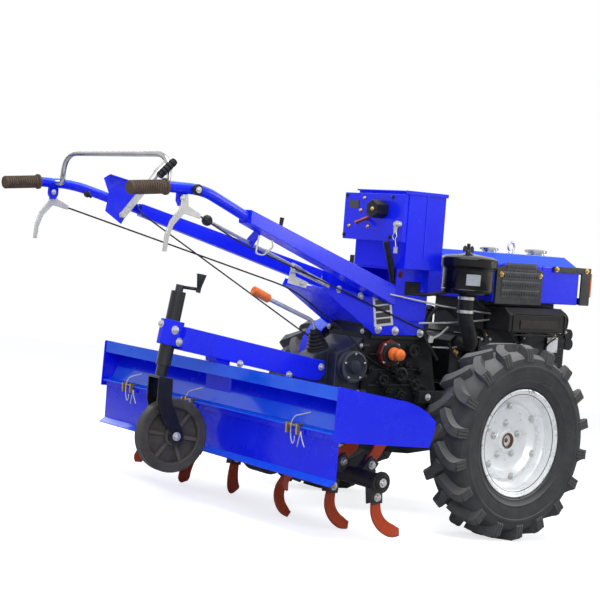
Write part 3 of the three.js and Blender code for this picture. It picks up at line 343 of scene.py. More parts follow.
def finish(name, colour, other, roughness, metallic=0.0, coat=0.0, grain=400, patch=9, bump=0.06,
           spread=0.12, wear=0.0, worn_colour=(0.5, 0.5, 0.5), top_sheen_and_dust_colour=None, top_sheen_and_dust_share=0.0,
           mottle=0.5):
    """A plain finish: two near colours in patches, a grained gloss, rubbed corners, and lighter upward faces:
    a painted highlight, with dust as well on the tyre.
    """
    material = bpy.data.materials.new(name)
    tree = shader_tree(material)
    shader = add_node(tree, "ShaderNodeBsdfPrincipled")
    shader.inputs["Metallic"].default_value = metallic
    shader.inputs["Coat Weight"].default_value = coat
    shader.inputs["Coat Roughness"].default_value = 0.08
    shader.inputs["Specular IOR Level"].default_value = 0.2
    result = add_node(tree, "ShaderNodeOutputMaterial")
    marks = add_node(tree, "ShaderNodeGroup", node_tree=MARKS)
    marks.inputs["Grain Scale"].default_value = grain
    marks.inputs["Patch Scale"].default_value = patch
    blend = add_node(tree, "ShaderNodeMix", data_type="RGBA")
    blend.inputs["A"].default_value = (*colour, 1)
    blend.inputs["B"].default_value = (*other, 1)
    amount = add_node(tree, "ShaderNodeMapRange")
    amount.inputs["From Min"].default_value = 0.5 - mottle * 0.3
    amount.inputs["From Max"].default_value = 0.5 + mottle * 0.3
    join = tree.links.new
    join(marks.outputs["Patches"], amount.inputs["Value"])
    join(amount.outputs[0], blend.inputs["Factor"])
    last = blend.outputs["Result"]
    # upward faces blend towards a lighter colour: painted highlight where light falls from above
    if top_sheen_and_dust_share:
        tops = add_node(tree, "ShaderNodeMix", data_type="RGBA")
        tops.inputs["B"].default_value = (*top_sheen_and_dust_colour, 1)
        share = add_node(tree, "ShaderNodeMath", operation="MULTIPLY")
        share.inputs[1].default_value = top_sheen_and_dust_share
        join(marks.outputs["Upward"], share.inputs[0])
        join(share.outputs[0], tops.inputs["Factor"])
        join(last, tops.inputs["A"])
        last = tops.outputs["Result"]
    if wear:
        rubbed = add_node(tree, "ShaderNodeGroup", node_tree=WEAR)
        rubbed.inputs["Amount"].default_value = wear
        bare = add_node(tree, "ShaderNodeMix", data_type="RGBA")
        bare.inputs["B"].default_value = (*worn_colour, 1)
        join(rubbed.outputs["Worn"], bare.inputs["Factor"])
        join(last, bare.inputs["A"])
        last = bare.outputs["Result"]
    join(last, shader.inputs["Base Color"])
    gloss = add_node(tree, "ShaderNodeMapRange")
    gloss.inputs["From Min"].default_value = 0.3
    gloss.inputs["From Max"].default_value = 0.7
    gloss.inputs["To Min"].default_value = max(roughness - spread, 0.02)
    gloss.inputs["To Max"].default_value = min(roughness + spread, 1)
    join(marks.outputs["Patches"], gloss.inputs["Value"])
    join(gloss.outputs[0], shader.inputs["Roughness"])
    if bump:
        relief = add_node(tree, "ShaderNodeBump")
        relief.inputs["Strength"].default_value = bump
        relief.inputs["Distance"].default_value = 0.002
        join(marks.outputs["Grain"], relief.inputs["Height"])
        join(relief.outputs[0], shader.inputs["Normal"])
    join(shader.outputs[0], result.inputs[0])
    return material


def piece(name, shape, material, body, replaces=(), bevel=0.0, steps=2, smooth=32, matrix=TRACTOR):
    """One finished piece from a shape in the level frame."""
    work = bmesh.new()
    corners = [work.verts.new(matrix @ Vector(p)) for p in shape[0]]
    for face in shape[1]:
        try:
            work.faces.new([corners[i] for i in face])
        except ValueError:
            pass
    bmesh.ops.remove_doubles(work, verts=work.verts, dist=2e-6)
    bmesh.ops.recalc_face_normals(work, faces=work.faces)
    mesh = bpy.data.meshes.new(name)
    work.to_mesh(mesh)
    work.free()
    return placed_piece(name, mesh, material, body, replaces, bevel, steps, smooth)


def placed_piece(name, mesh, material, body, replaces, bevel, steps, smooth):
    mesh.shade_smooth()
    mesh.set_sharp_from_angle(angle=math.radians(smooth))
    mesh.materials.clear()
    mesh.materials.append(material)
    made = bpy.data.objects.new(name, mesh)
    scene.collection.objects.link(made)
    if bevel:
        rounding = made.modifiers.new("rounding", "BEVEL")
        rounding.width = bevel * MILLIMETRES
        rounding.segments = steps
        rounding.limit_method = "ANGLE"
        rounding.angle_limit = math.radians(32)
        rounding.harden_normals = True
    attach(made, body)
    if replaces:
        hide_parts(*replaces)
    return made


# the tread tops are painted lighter: grey dust, and a painted highlight from the lamps above
tyre_rubber = finish("tyre_rubber", (0.036, 0.038, 0.041), (0.062, 0.064, 0.066), 0.72, grain=900,
                     patch=16, bump=0.25, wear=0.7, worn_colour=(0.13, 0.125, 0.12),
                     top_sheen_and_dust_colour=(0.34, 0.335, 0.32), top_sheen_and_dust_share=0.6)
galvanised = finish("galvanised", (0.80, 0.82, 0.83), (0.93, 0.94, 0.94), 0.32, metallic=0.25,
                    grain=260, patch=26, bump=0.05, spread=0.1, mottle=0.8)
zinc = finish("bright_zinc", (0.52, 0.52, 0.51), (0.66, 0.66, 0.64), 0.3, metallic=0.6, grain=200,
              patch=18, bump=0.006)
hub_steel = finish("hub_steel", (0.10, 0.045, 0.020), (0.22, 0.115, 0.055), 0.55, metallic=0.3,
                   grain=500, patch=60, bump=0.2)

AXLE = (-100, 430, 18)
HALF_AXLE = 338.7
LUGS = 18
LUG_STEP = 2 * math.pi / LUGS
TREAD = 281
LUG_TOP = 305.5
LUG_START = -7
LUG_INNER = -14
LUG_OUTER = 75.5
LUG_REACH = 79
LUG_TRAIL = 0.205
LUG_CURVE = 1.9
LUG_FOOT = ((293, 60), (293, 75.6), (258, 78.6), (246, 70))
SEAM_WIDTHS = {175: 56, 200: 69.6, 226: 74.4}
MOULD_HAIRS = 46
RIM_SECTION = [
    [169, 57.5], [166, 58.5], [163.5, 57], [163, 54], [154, 52], [150, 49], [149, 20], [145, 15],
    [131, 6],
    [125, 5], [121, 9], [116, 13], [110, 12], [104, 4], [96, -7], [88, -10], [60, -11], [40, -11],
    [37, -8],
    [36, 1], [33, 3], [20, 3], [20, -40], [50, -40], [56, -17], [100, -14], [118, 2], [131, -3],
    [149, -20],
    [150, -49], [154, -52], [163, -54], [163.5, -57], [169, -57.5], [169, -54], [154, -48], [153, -20],
    [135, 0],
    [153, 20], [154, 48], [169, 54], [169, 57.5],
]


def carcass():
    half = [[170, 52], [174, 56], [177, 60], [180, 60], [182, 61], [192, 67], [194, 69.5], [197, 70.2],
            [199, 69.5], [206, 71.5],
            [222, 74.5], [234, 75.2], [237, 77.2], [243, 77.4], [247, 75], [256, 74], [266, 70],
            [274, 60], [279, 46], [281, 24], [281, 0]]
    lower = [[r, -y] for r, y in half]
    upper = [[r, y] for r, y in reversed(half[:-1])]
    return turned(lower + upper + [[152, 52], [152, -52], lower[0]], 108)


def lug(side, start):
    """One curved lug, from just over the middle of the tread to the side wall."""
    stations = 11
    look_ahead = 0.02
    points, faces = [], []
    for i in range(stations):
        t = i / (stations - 1)
        y = LUG_START + LUG_REACH * t
        angle = start + LUG_TRAIL * (1 - (1 - t) ** LUG_CURVE)
        ahead_angle = start + LUG_TRAIL * (1 - (1 - min(t + look_ahead, 1)) ** LUG_CURVE)
        run = Vector((LUG_TOP * (ahead_angle - angle), LUG_REACH * look_ahead))
        if run.length < 1e-6 or t > 0.97:
            run = Vector((0.15, 1))
        run.normalize()
        normal = Vector((run.y, -run.x))
        top = LUG_TOP - 1.5 * t ** 2 - max(0, t - 0.82) * 38
        base = TREAD - 4 - max(0, t - 0.55) ** 1.6 * 80
        half_top = 11 + 3.5 * t
        half_base = half_top + 6.5
        for radius, half in ((base, half_base), (top, half_top)):
            for sign in (-1, 1):
                a = angle + sign * half * normal.x / LUG_TOP
                yy = y + sign * half * normal.y
                yy = max(min(yy, LUG_OUTER), LUG_INNER)
                points.append(Vector((radius * math.cos(a), side * yy, radius * math.sin(a))))
    for i in range(stations - 1):
        a, b = i * 4, i * 4 + 4
        faces += [[a, a + 1, b + 1, b], [a + 1, a + 3, b + 3, b + 1], [a + 3, a + 2, b + 2, b + 3],
                  [a + 2, a, b, b + 2]]
    faces += [[0, 2, 3, 1], [stations * 4 - 4, stations * 4 - 3, stations * 4 - 1, stations * 4 - 2]]
    return points, faces


def wall_block(side, start):
    """The foot of a lug where it runs down onto the side wall, split by two narrow slots."""
    parts = []
    for near, far in ((-0.052, -0.022), (-0.014, 0.016), (0.024, 0.05)):
        corners = [Vector((r * math.cos(a), side * y, r * math.sin(a)))
                   for a in (start + near, start + far) for r, y in LUG_FOOT]
        parts.append((corners, [[0, 1, 2, 3], [7, 6, 5, 4], [0, 4, 5, 1], [1, 5, 6, 2], [2, 6, 7, 3],
                                [3, 7, 4, 0]]))
    return merge(*parts)


random.seed(4)
for hand, sign in (("right", -1), ("left", 1)):
    wheel_body = f"wheel_{hand}_body"
    centre = (AXLE[0], sign * AXLE[1], AXLE[2])
    lugs = []
    for row_side, offset in ((1, 0.0), (-1, 0.5)):
        for i in range(LUGS):
            lugs.append(lug(row_side, (i + offset) * LUG_STEP))
            lugs.append(wall_block(row_side, (i + offset) * LUG_STEP + LUG_TRAIL))
    hairs = []
    for i in range(MOULD_HAIRS):
        angle = random.uniform(0, 2 * math.pi)
        radius = random.choice([175, 175, 200, 226])
        at = Vector((radius * math.cos(angle), SEAM_WIDTHS[radius], radius * math.sin(angle)))
        inward = 0.93 if radius == 175 else 1.01
        tip = Vector((at.x * inward + random.uniform(-8, 8), at.y + random.uniform(3, 8),
                      at.z * inward + random.uniform(-8, 8)))
        hairs.append(swept([at, at.lerp(tip, 0.5) + Vector((0, 1.5, 0)), tip], 0.7, 4))
    flip = Matrix.Diagonal((1, sign, 1, 1))
    rubber = placed(merge(carcass(), *lugs, *hairs), Matrix.Translation(centre) @ flip)
    piece(f"tyre_{hand}_finished", rubber, tyre_rubber, wheel_body, [f"tyre_{hand}"],
          smooth=26)
    rim = turned(RIM_SECTION, 96)
    set_wheel = Matrix.Translation(centre) @ flip
    stub = turned([[0, -HALF_AXLE], [22, -HALF_AXLE], [22, -4], [0, -4]], 48)
    piece(f"rim_{hand}_finished", placed(merge(rim, stub), set_wheel), galvanised, wheel_body,
          [f"wheel_rim_{hand}"], smooth=30)
    bolts = bolt_circle((0, -10.5, 0), 54, 5, 20, 1, 8, 6) + bolt_circle((0, 12, 0), 112, 6, 38, 1, 8, 6)
    piece(f"rim_bolts_{hand}", placed(merge(*bolts), set_wheel), zinc, wheel_body, smooth=30)
    core = turned([[0, -30], [25, -30], [25, 4.5], [22, 6], [19.5, 5], [19, -6], [10, -8], [6, -2],
                   [0, -2]], 40)
    piece(f"hub_core_{hand}", placed(core, set_wheel), hub_steel, wheel_body, smooth=30)

# ------------------------------------------------------------------ gearbox and rear casing
# Cast gearbox between the wheels with a tapering rear casing bolted behind it. A round
# cover is screwed to its right side and an orange cap closes the power take-off beside it.
cast_black = finish("cast_black", (0.003, 0.0035, 0.005), (0.009, 0.010, 0.012), 0.40, grain=500,
                    patch=14, bump=0.22, wear=0.5, worn_colour=(0.10, 0.10, 0.11))
cast_grey = finish("cast_grey", (0.020, 0.024, 0.034), (0.036, 0.042, 0.056), 0.42, metallic=0.1,
                   grain=520, patch=18, bump=0.2, wear=0.4, worn_colour=(0.35, 0.36, 0.38))
cast_red = finish("primer_red", (0.085, 0.012, 0.010), (0.15, 0.022, 0.018), 0.45, grain=500, patch=24,
                  bump=0.15)
orange_plastic = finish("orange_plastic", (0.92, 0.17, 0.03), (0.97, 0.24, 0.05), 0.32, grain=300,
                        patch=20, bump=0.03)
gold = finish("yellow_zinc", (0.52, 0.34, 0.10), (0.66, 0.47, 0.17), 0.3, metallic=0.75, grain=600,
              patch=60, bump=0.05)


def block(x0, x1, y0, y1, z0, z1):
    """A plain flat-sided block between two limits on each axis."""
    points = [Vector((x, y, z)) for x in (x0, x1) for y in (y0, y1) for z in (z0, z1)]
    return points, [[0, 1, 3, 2], [4, 6, 7, 5], [0, 4, 5, 1], [2, 3, 7, 6], [0, 2, 6, 4], [1, 5, 7, 3]]


def rounded(node, material, body, bevel=2.0, steps=2, smooth=32):
    """The CAD solid of a node with its flat faces made whole and its edges rounded."""
    work = bmesh.new()
    work.from_mesh(frame["nodes"][node].data)
    bmesh.ops.remove_doubles(work, verts=work.verts, dist=1e-5)
    bmesh.ops.dissolve_limit(work, angle_limit=math.radians(0.8), verts=work.verts, edges=work.edges)
    mesh = bpy.data.meshes.new(f"{node}_finished")
    work.to_mesh(mesh)
    work.free()
    return placed_piece(f"{node}_finished", mesh, material, body, [node], bevel, steps, smooth)


BODY = "tractor_frame"
SIDE_COVER = (-478, 211)
POWER_TAKE_OFF = (-324, 254)
rounded("gearbox_housing", cast_black, BODY, 3.0, 3)
rounded("rear_casing", cast_grey, BODY, 3.0, 3)
rounded("gearbox_side_cover", cast_grey, BODY, 2.5, 3)
cap = turned([[0, 0], [21, 0], [22, 5], [21, 13], [16, 18.5], [15.5, 22], [18.6, 28], [19.4, 34],
              [17, 41], [10, 46], [0, 47]], 40)
piece("pto_cap_finished", aimed(cap, (POWER_TAKE_OFF[0], -116.2, POWER_TAKE_OFF[1]), (0, -1, 0)),
      orange_plastic, BODY, ["pto_cap"], smooth=50)

bosses, screws, dark_screws = [], [], []
for x, z, size, depth in ((-262, 183, 27, 10), (-193, 150, 22, 8), (-339, 167, 20, 12),
                          (-255, 118, 16, 8), (-392, 200, 13, 10),
                          (-215, 262, 24, 12), (-300, 205, 14, 14), (-232, 212, 15, 9),
                          (-310, 128, 14, 9), (-176, 196, 13, 12)):
    bosses.append(aimed(turned([[0, -3], [size, -3], [size, depth - 2], [size * 0.88, depth],
                                [size * 0.6, depth],
                                [size * 0.52, depth - 2.5], [0, depth - 2.5]], 28), (x, -90, z),
                                (0, -1, 0)))
    dark_screws.append(bolt((x, -92 - depth + 4, z), (0, -1, 0), 6, 5, False))
    if size > 15:
        dark_screws += bolt_circle((x, -90, z), size * 1.2, 4, x, -1, 4.5, 5, False)
for z in (150, 200, 250, 300):
    bosses.append(block(-400, -160, -93.5, -89, z - 2.5, z + 2.5))
for side in (-1, 1):
    for z in (128, 176, 226, 276, 322):
        bosses.append(aimed(turned([[0, -14], [11, -14], [11, 12], [0, 12]], 16), (-420, side * 84, z),
                            (-1, 0, 0)))
        screws.append(bolt((-432, side * 84, z), (-1, 0, 0), 6, 5))
piece("gearbox_bosses", merge(*bosses), cast_black, BODY, bevel=1.2, smooth=35)
cover_boss = turned([[50, 0], [50, 4], [44, 6], [38, 3], [22, 3], [19, 10], [11, 12], [0, 12]], 48)
cover_boss = aimed(cover_boss, (SIDE_COVER[0], -110, SIDE_COVER[1]), (0, -1, 0))
screws += bolt_circle((SIDE_COVER[0], -113.5, SIDE_COVER[1]), 41, 5, 18, -1, 4.2, 3.5, False)
piece("side_cover_boss", cover_boss, cast_grey, BODY, smooth=30)
red_block = turned([[0, -1], [46, -1], [46, 13], [41, 18], [35, 18], [35, 10], [0, 10]], 8)
red_block = aimed(red_block, (POWER_TAKE_OFF[0], -90, POWER_TAKE_OFF[1]), (0, -1, 0))
piece("pto_bearing_block", red_block, cast_red, BODY, bevel=1.5)
ring = turned([[24.5, 0], [38, 0], [38, 11], [34, 13], [28, 13], [24.5, 8], [24.5, 0]], 48)
ring = aimed(ring, (POWER_TAKE_OFF[0], -104, POWER_TAKE_OFF[1]), (0, -1, 0))
piece("pto_ring", ring, cast_black, BODY, smooth=30)
screws += bolt_circle((POWER_TAKE_OFF[0], -106, POWER_TAKE_OFF[1]), 40, 4, 45, -1, 4.5, 4, False)
piece("gearbox_dark_screws", merge(*dark_screws), cast_black, BODY, bevel=0.4, steps=1)
piece("gearbox_screws", merge(*screws), zinc, BODY, bevel=0.4, steps=1)

# ------------------------------------------------------------------ gear lever
# A ribbed rubber boot on the rear casing, a bent plated rod through it, and a round grip.
boot_rubber = finish("boot_rubber", (0.012, 0.012, 0.013), (0.03, 0.03, 0.03), 0.6, grain=700, patch=30,
                     bump=0.12)
BOOT_FOOT = (-541, 0, 256.4)
BOOT_LEAN = math.radians(-20)
STAND_UP = Matrix.Rotation(math.radians(90), 4, "X")  # turns a shape made along +Y upright
rings = [[0, 0], [35, 0], [36, 3], [34, 6]]
for i in range(5):
    z = 10 + i * 11
    radius = 30.5 - i * 3.6
    rings += [[radius, z - 4], [radius + 3.6, z - 1.5], [radius + 4, z + 1], [radius + 2, z + 3.4],
              [radius - 1.5, z + 4.6]]
rings += [[12, 62], [12, 66], [0, 66]]
boot = placed(turned(rings, 40),
              Matrix.Translation(BOOT_FOOT) @ Matrix.Rotation(BOOT_LEAN, 4, "Y") @ STAND_UP)
piece("gear_boot_finished", boot, boot_rubber, BODY, ["gear_lever_boot"], smooth=50)
rounded("gear_lever", zinc, BODY, 0, 1, 40)
rounded("gear_lever_grip", orange_plastic, BODY, 2.5, 3, 40)

# ------------------------------------------------------------------ chassis frame
# Two flat bars from the gearbox to a cross plate at the nose carry the engine; bolts hold
# the engine's feet down.
# upward faces painted a lighter bluish grey: a painted highlight
black_paint = finish("black_paint", (0.004, 0.0045, 0.006), (0.009, 0.0095, 0.012), 0.30, coat=0.3,
                     grain=350, patch=12, bump=0.04, wear=0.35, worn_colour=(0.16, 0.16, 0.17),
                     top_sheen_and_dust_colour=(0.05, 0.055, 0.07), top_sheen_and_dust_share=0.3)
rounded("chassis_frame", black_paint, BODY, 2.0)
frame_bolts = []
for side in (-1, 1):
    for x in (-150, -60, 40, 150, 300, 420):
        frame_bolts.append(bolt((x, side * 109, 112), (0, side, 0), 8, 6))
piece("chassis_bolts", merge(*frame_bolts), zinc, BODY, bevel=0.5, steps=1)

# ------------------------------------------------------------------ engine
# A horizontal single-cylinder diesel: black crankcase, head towards the nose, studs and
# nuts round its covers, thin fuel pipes along the right side and a blank plate.
filter_black = finish("filter_black", (0.008, 0.008, 0.009), (0.018, 0.018, 0.02), 0.3, coat=0.4,
                      grain=300, patch=14, bump=0.04)
rounded("engine_block", cast_black, BODY, 4.0, 3)
rounded("cylinder_head", cast_black, BODY, 3.0, 3)
plate_metal = finish("blank_plate", (0.55, 0.56, 0.58), (0.66, 0.67, 0.69), 0.35, metallic=0.5,
                     grain=300, patch=40, bump=0.03)


def bend(points, trim, steps=6):
    """The same route with its corners rounded off over a length of trim each way."""
    points = [Vector(p) for p in points]
    route = [points[0]]
    for before, corner, after in zip(points, points[1:], points[2:]):
        back, on = before - corner, after - corner
        cut = min(trim, back.length * 0.46, on.length * 0.46)
        a, b = corner + back.normalized() * cut, corner + on.normalized() * cut
        for i in range(steps + 1):
            t = i / steps
            route.append(a * (1 - t) ** 2 + corner * (2 * t * (1 - t)) + b * t ** 2)
    route.append(points[-1])
    return route


def slab(outline, low, high, axis="y"):
    """A flat outline given some thickness along an axis."""
    turn = {
        "x": lambda u, v, w: (w, u, v),
        "y": lambda u, v, w: (u, w, v),
        "z": lambda u, v, w: (u, v, w),
    }[axis]
    n = len(outline)
    points = [Vector(turn(u, v, w)) for w in (low, high) for u, v in outline]
    faces = [list(range(n))[::-1], list(range(n, 2 * n))]
    faces += [[i, (i + 1) % n, n + (i + 1) % n, n + i] for i in range(n)]
    return points, faces


def stood(shape, x, y, z):
    """A shape made along +Y, stood upright at a place."""
    return placed(shape, Matrix.Translation((x, y, z)) @ STAND_UP)


CRANK_COVER = (150, 220)
covers = [
    aimed(turned([[0, -2], [66, -2], [66, 6], [60, 9], [34, 9], [30, 13], [0, 13]], 48),
          (CRANK_COVER[0], -130, CRANK_COVER[1]), (0, -1, 0)),
    aimed(turned([[0, -2], [30, -2], [30, 10], [25, 13], [0, 13]], 32), (262, -130, 330), (0, -1, 0)),
    block(36, 96, -139, -129, 250, 320), block(300, 352, -140, -129, 170, 232),
    block(205, 250, -146, -129, 262, 300),
]
for z in (150, 176, 202, 228, 254, 280, 306, 332):
    covers.append(block(372, 462, -134.5, -129, z - 2, z + 2))
piece("engine_covers", merge(*covers), cast_black, BODY, bevel=1.5, smooth=35)
studs = bolt_circle((CRANK_COVER[0], -136, CRANK_COVER[1]), 57, 8, 22.5, -1, 5, 4, False)
for x, z in ((46, 260), (86, 260), (46, 310), (86, 310), (308, 178), (344, 178), (308, 224), (344, 224),
             (250, 316), (274, 344),
             (370, 150), (462, 150), (370, 340), (462, 340)):
    studs.append(bolt((x, -138, z), (0, -1, 0), 5.5, 4.5, False))
piece("engine_nuts", merge(*studs), zinc, BODY, bevel=0.4, steps=1)
plate = slab([(374, 268), (428, 268), (428, 320), (374, 320)], -138, -135.5)
plate = merge(plate, *[aimed(turned([[0, 0], [2.2, 0], [1.6, 1.6], [0, 1.8]], 10), (x, -138, z),
                             (0, -1, 0))
                       for x in (379, 423) for z in (273, 315)])
piece("engine_plate", plate, plate_metal, BODY, bevel=0.4, steps=1)
fuel_pipes = merge(
    swept(bend([(226, -148, 290), (226, -160, 330), (262, -162, 372), (330, -158, 340),
                (395, -146, 330)], 26), 3.2),
    swept(bend([(240, -148, 268), (280, -166, 250), (330, -162, 262), (360, -150, 300),
                (405, -146, 318)], 22), 3.2),
    swept(bend([(66, -140, 322), (72, -154, 352), (120, -158, 372), (170, -150, 330), (215, -146, 292)],
               24), 4.0),
    swept(bend([(-6, -116, 330), (20, -128, 352), (52, -142, 344), (60, -140, 300)], 16), 4.5))
piece("fuel_pipes", fuel_pipes, boot_rubber, BODY, smooth=60)
gold_bits = merge(
    bolt((-37, -106, 262), (0, -1, 0), 8, 6), bolt((226, -146, 292), (0, -1, 0), 7, 10, False),
    bolt((240, -146, 270), (0, -1, 0), 6, 8, False), bolt((404, -138, 326), (0, -1, 0), 6, 8, False),
    bolt((66, -139, 322), (0, 0, 1), 7, 8, False))
piece("engine_unions", gold_bits, gold, BODY, bevel=0.4, steps=1)
rods = merge(
    swept(bend([(-370, -130, 445), (-157, -146, 416), (60, -150, 398), (144, -150, 391)], 20), 3.2, 12),
    swept(bend([(-231, -126, 356), (-97, -140, 362), (69, -146, 376), (125, -150, 391)], 20), 3.2, 12))
SPRING_COILS = 6
SPRING_RADIUS = 5.5
spring = []
for i in range(8 * SPRING_COILS + 1):
    a = i * math.pi / 4
    spring.append((-60 + i * 1.3, -150 + SPRING_RADIUS * math.cos(a),
                   330 - i * 0.2 + SPRING_RADIUS * math.sin(a)))
spring_ends = [[(-92, -148, 333), (-60, -150, 330)], [(3, -150, 320), (30, -146, 316)]]
rods = merge(rods, swept(spring, 1.1, 6), *[swept(end, 1.6, 8) for end in spring_ends])
piece("throttle_rods", rods, zinc, BODY, smooth=60)
hoses = merge(
    swept(bend([(-42, -176, 452), (-20, -170, 436), (27, -156, 415), (134, -150, 398)], 24), 6, 14),
    swept(bend([(-235, -90, 446), (-190, -118, 449), (-149, -140, 459), (-120, -150, 468)], 24), 6, 14),
    swept(bend([(-180, -104, 330), (-176, -108, 372), (-150, -112, 404), (-96, -112, 410),
                (-50, -112, 380)], 22), 7, 14),
    swept(bend([(-120, -108, 236), (-150, -116, 262), (-176, -112, 292), (-188, -104, 330)], 18), 5, 12),
    swept(bend([(20, -134, 262), (-30, -140, 236), (-66, -132, 250), (-84, -120, 292)], 20), 4.5, 12),
    swept(bend([(420, -140, 420), (446, -160, 396), (452, -150, 350), (440, -134, 322)], 18), 4, 12),
    swept(bend([(300, -136, 250), (326, -168, 232), (368, -160, 216), (380, -134, 230)], 18), 4, 12))
piece("engine_hoses", hoses, boot_rubber, BODY, smooth=60)
filter_pot = turned([[0, 0], [24, 0], [30, 6], [30, 44], [26, 48], [34, 50], [34, 58], [20, 62],
                     [0, 62]], 36)
filter_pot = stood(filter_pot, -160, -70, 352)
piece("fuel_filter", filter_pot, filter_black, BODY, smooth=35)
linkage = merge(
    swept(bend([(-164, -110, 301), (-120, -112, 318), (-84, -112, 345)], 14), 3.5),
    swept(bend([(-150, -112, 278), (-60, -114, 276), (0, -122, 292), (24, -132, 300)], 16), 3.0),
    slab([(-174, 292), (-152, 292), (-146, 312), (-166, 316)], -114, -109))
piece("engine_linkage", linkage, zinc, BODY, smooth=50)

# ------------------------------------------------------------------ radiator housing and fuel tank
# Folded blue sheet boxes with broad chamfers sit side by side on the engine. Chromed caps
# screw into their tops and a lifting ring stands between them.
# upward faces painted a paler blue: a painted reflection of the bright air above
blue_paint = finish("blue_paint", (0.0035, 0.012, 0.86), (0.005, 0.018, 0.95), 0.27, coat=0.22,
                    grain=180, patch=5, bump=0.035, spread=0.07, wear=0.25,
                    worn_colour=(0.10, 0.12, 0.55), top_sheen_and_dust_colour=(0.012, 0.15, 0.95), top_sheen_and_dust_share=0.85)
rounded("radiator_housing", blue_paint, BODY, 3.5, 3)
rounded("fuel_tank", blue_paint, BODY, 4.0, 3)
chrome = finish("chrome", (0.42, 0.42, 0.42), (0.52, 0.52, 0.52), 0.14, metallic=1.0, grain=120,
                patch=16, bump=0.0, spread=0.05)
CAP_RIBS = 20
CAP_FLATTENING = 0.6
TANK_TOP = 601


def filler_cap(x, scale):
    profile = [[0, 0], [26, 0], [26, 5], [24, 7], [24, 12], [30, 13], [31, 15], [31, 24], [29, 27],
               [22, 29.5], [8, 31], [0, 31]]
    cap = turned([[r * scale, h * scale] for r, h in profile], 48)
    ribs = []
    for i in range(CAP_RIBS):
        a = 2 * math.pi * i / CAP_RIBS
        ribs.append(placed(block(30 * scale, 32.2 * scale, 14 * scale, 25 * scale, -2, 2),
                           Matrix.Rotation(a, 4, "Y")))
    flat = Matrix.Diagonal((1, CAP_FLATTENING, 1, 1))
    return placed(merge(cap, *ribs), Matrix.Translation((x, -40, TANK_TOP)) @ STAND_UP @ flat)


piece("radiator_cap_finished", filler_cap(150, 1.0), chrome, BODY, ["radiator_cap"], smooth=35)
piece("fuel_cap_finished", filler_cap(384, 1.22), chrome, BODY, ["fuel_cap"], smooth=35)
rounded("lifting_eye", zinc, BODY, 0, 1, 50)

# ------------------------------------------------------------------ side grilles
# Black octagonal plates with rows of diagonal mesh between flat bars, held by two bolts.
mesh_grey = finish("mesh_grey", (0.07, 0.072, 0.078), (0.11, 0.112, 0.12), 0.4, metallic=0.3, grain=350,
                   patch=20, bump=0.04)
MESH_ROWS = 4
ROW_PITCH = 29.5
ROW_HEIGHT = 23.5
WIRES = 22
WIRE_LEAN = 6


def level_y(across):
    """A distance across the machine in metres, as millimetres in the level frame."""
    return (TRACTOR.inverted() @ Vector((0, across, 0))).y


for hand, sign in (("right", -1), ("left", 1)):
    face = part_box(f"radiator_grille_{hand}")
    rounded(f"radiator_grille_{hand}", black_paint, BODY, 1.2)
    skin = level_y(face[0].y if sign < 0 else face[1].y)
    bar_front = skin + sign * 2.6
    mesh = []
    for row in range(MESH_ROWS):
        low = 455 + row * ROW_PITCH
        inset = 18 if row == MESH_ROWS - 1 else 0
        bar_sides = sorted((skin, bar_front))
        mesh.append(block(48 + inset, 232 - inset, *bar_sides, low + ROW_HEIGHT, low + 29))
        for i in range(WIRES):
            x = 50 + inset + i * (178 - 2 * inset) / WIRES
            for foot, head, out in ((0, WIRE_LEAN, 1.0), (WIRE_LEAN, 0, 1.7)):
                a = Vector((x + foot, skin + sign * out, low + 0.5))
                b = Vector((x + head, skin + sign * out, low + ROW_HEIGHT))
                mesh.append(swept([a, b], 0, flat=(2.2, 1.0, (1, 0, 0))))
    piece(f"grille_mesh_{hand}", merge(*mesh), mesh_grey, BODY, smooth=30)
    piece(f"grille_bolts_{hand}",
          merge(bolt((45, skin, 533), (0, sign, 0), 6.5, 5),
                bolt((233, skin, 534), (0, sign, 0), 6.5, 5)), gold, BODY, bevel=0.4, steps=1)

# ------------------------------------------------------------------ tank strap, reflector
# A black flat strap goes round the tank to the nose, where an orange reflector faces ahead.
rounded("tank_guard", black_paint, BODY, 1.2)
piece("reflector_finished", block(494.3, 501, -206, -178, 470, 552), orange_plastic, BODY,
      ["reflector_strip"], bevel=1.2)
strap_skin = level_y(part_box("tank_guard")[0].y)
piece("strap_bolts", merge(bolt((316, strap_skin, 560), (0, -1, 0), 6.5, 5),
                           bolt((470, strap_skin, 560), (0, -1, 0), 6.5, 5)), gold, BODY,
      bevel=0.4, steps=1)

# ------------------------------------------------------------------ air cleaner and intake
# A glossy black oil-bath drum with a wider pressed lid, clamped by a wing nut, joined to
# the engine by a rubber elbow with two hose clips.
gloss_black = finish("gloss_black", (0.0015, 0.0015, 0.002), (0.004, 0.004, 0.005), 0.2, coat=0.2,
                     grain=200, patch=9, bump=0.02, spread=0.06)
CLEANER = (-72, -172)
drum = turned([[0, 460], [74, 460], [82, 466], [84, 474], [84, 539], [86, 541], [86, 546], [92, 548],
               [94, 552], [94, 572],
               [91, 578], [78, 584], [40, 588], [14, 592], [0, 592]], 24)
piece("air_cleaner_finished", stood(drum, *CLEANER, 0), gloss_black, BODY,
      ["air_cleaner"], bevel=1.0, smooth=20)
seams = []
for z, r in ((474, 84.5), (546, 88), (574, 93.5)):
    seam = turned([[r - 4, -2.5], [r, -2.5], [r + 1.5, 0], [r, 2.5], [r - 4, 2.5], [r - 4, -2.5]], 24)
    seams.append(stood(seam, *CLEANER, z))
piece("air_cleaner_seams", merge(*seams), gloss_black, BODY, smooth=35)
wing = merge(
    stood(turned([[0, 0], [11, 0], [9, 9], [6, 13], [6, 34], [0, 35]], 24), -80, -172, 590),
    slab([(-104, 598), (-97, 596), (-84, 602), (-76, 602), (-63, 596), (-56, 598), (-57, 612),
          (-64, 618), (-78, 609), (-82, 609), (-96, 618), (-103, 612)], -174.5, -169.5))
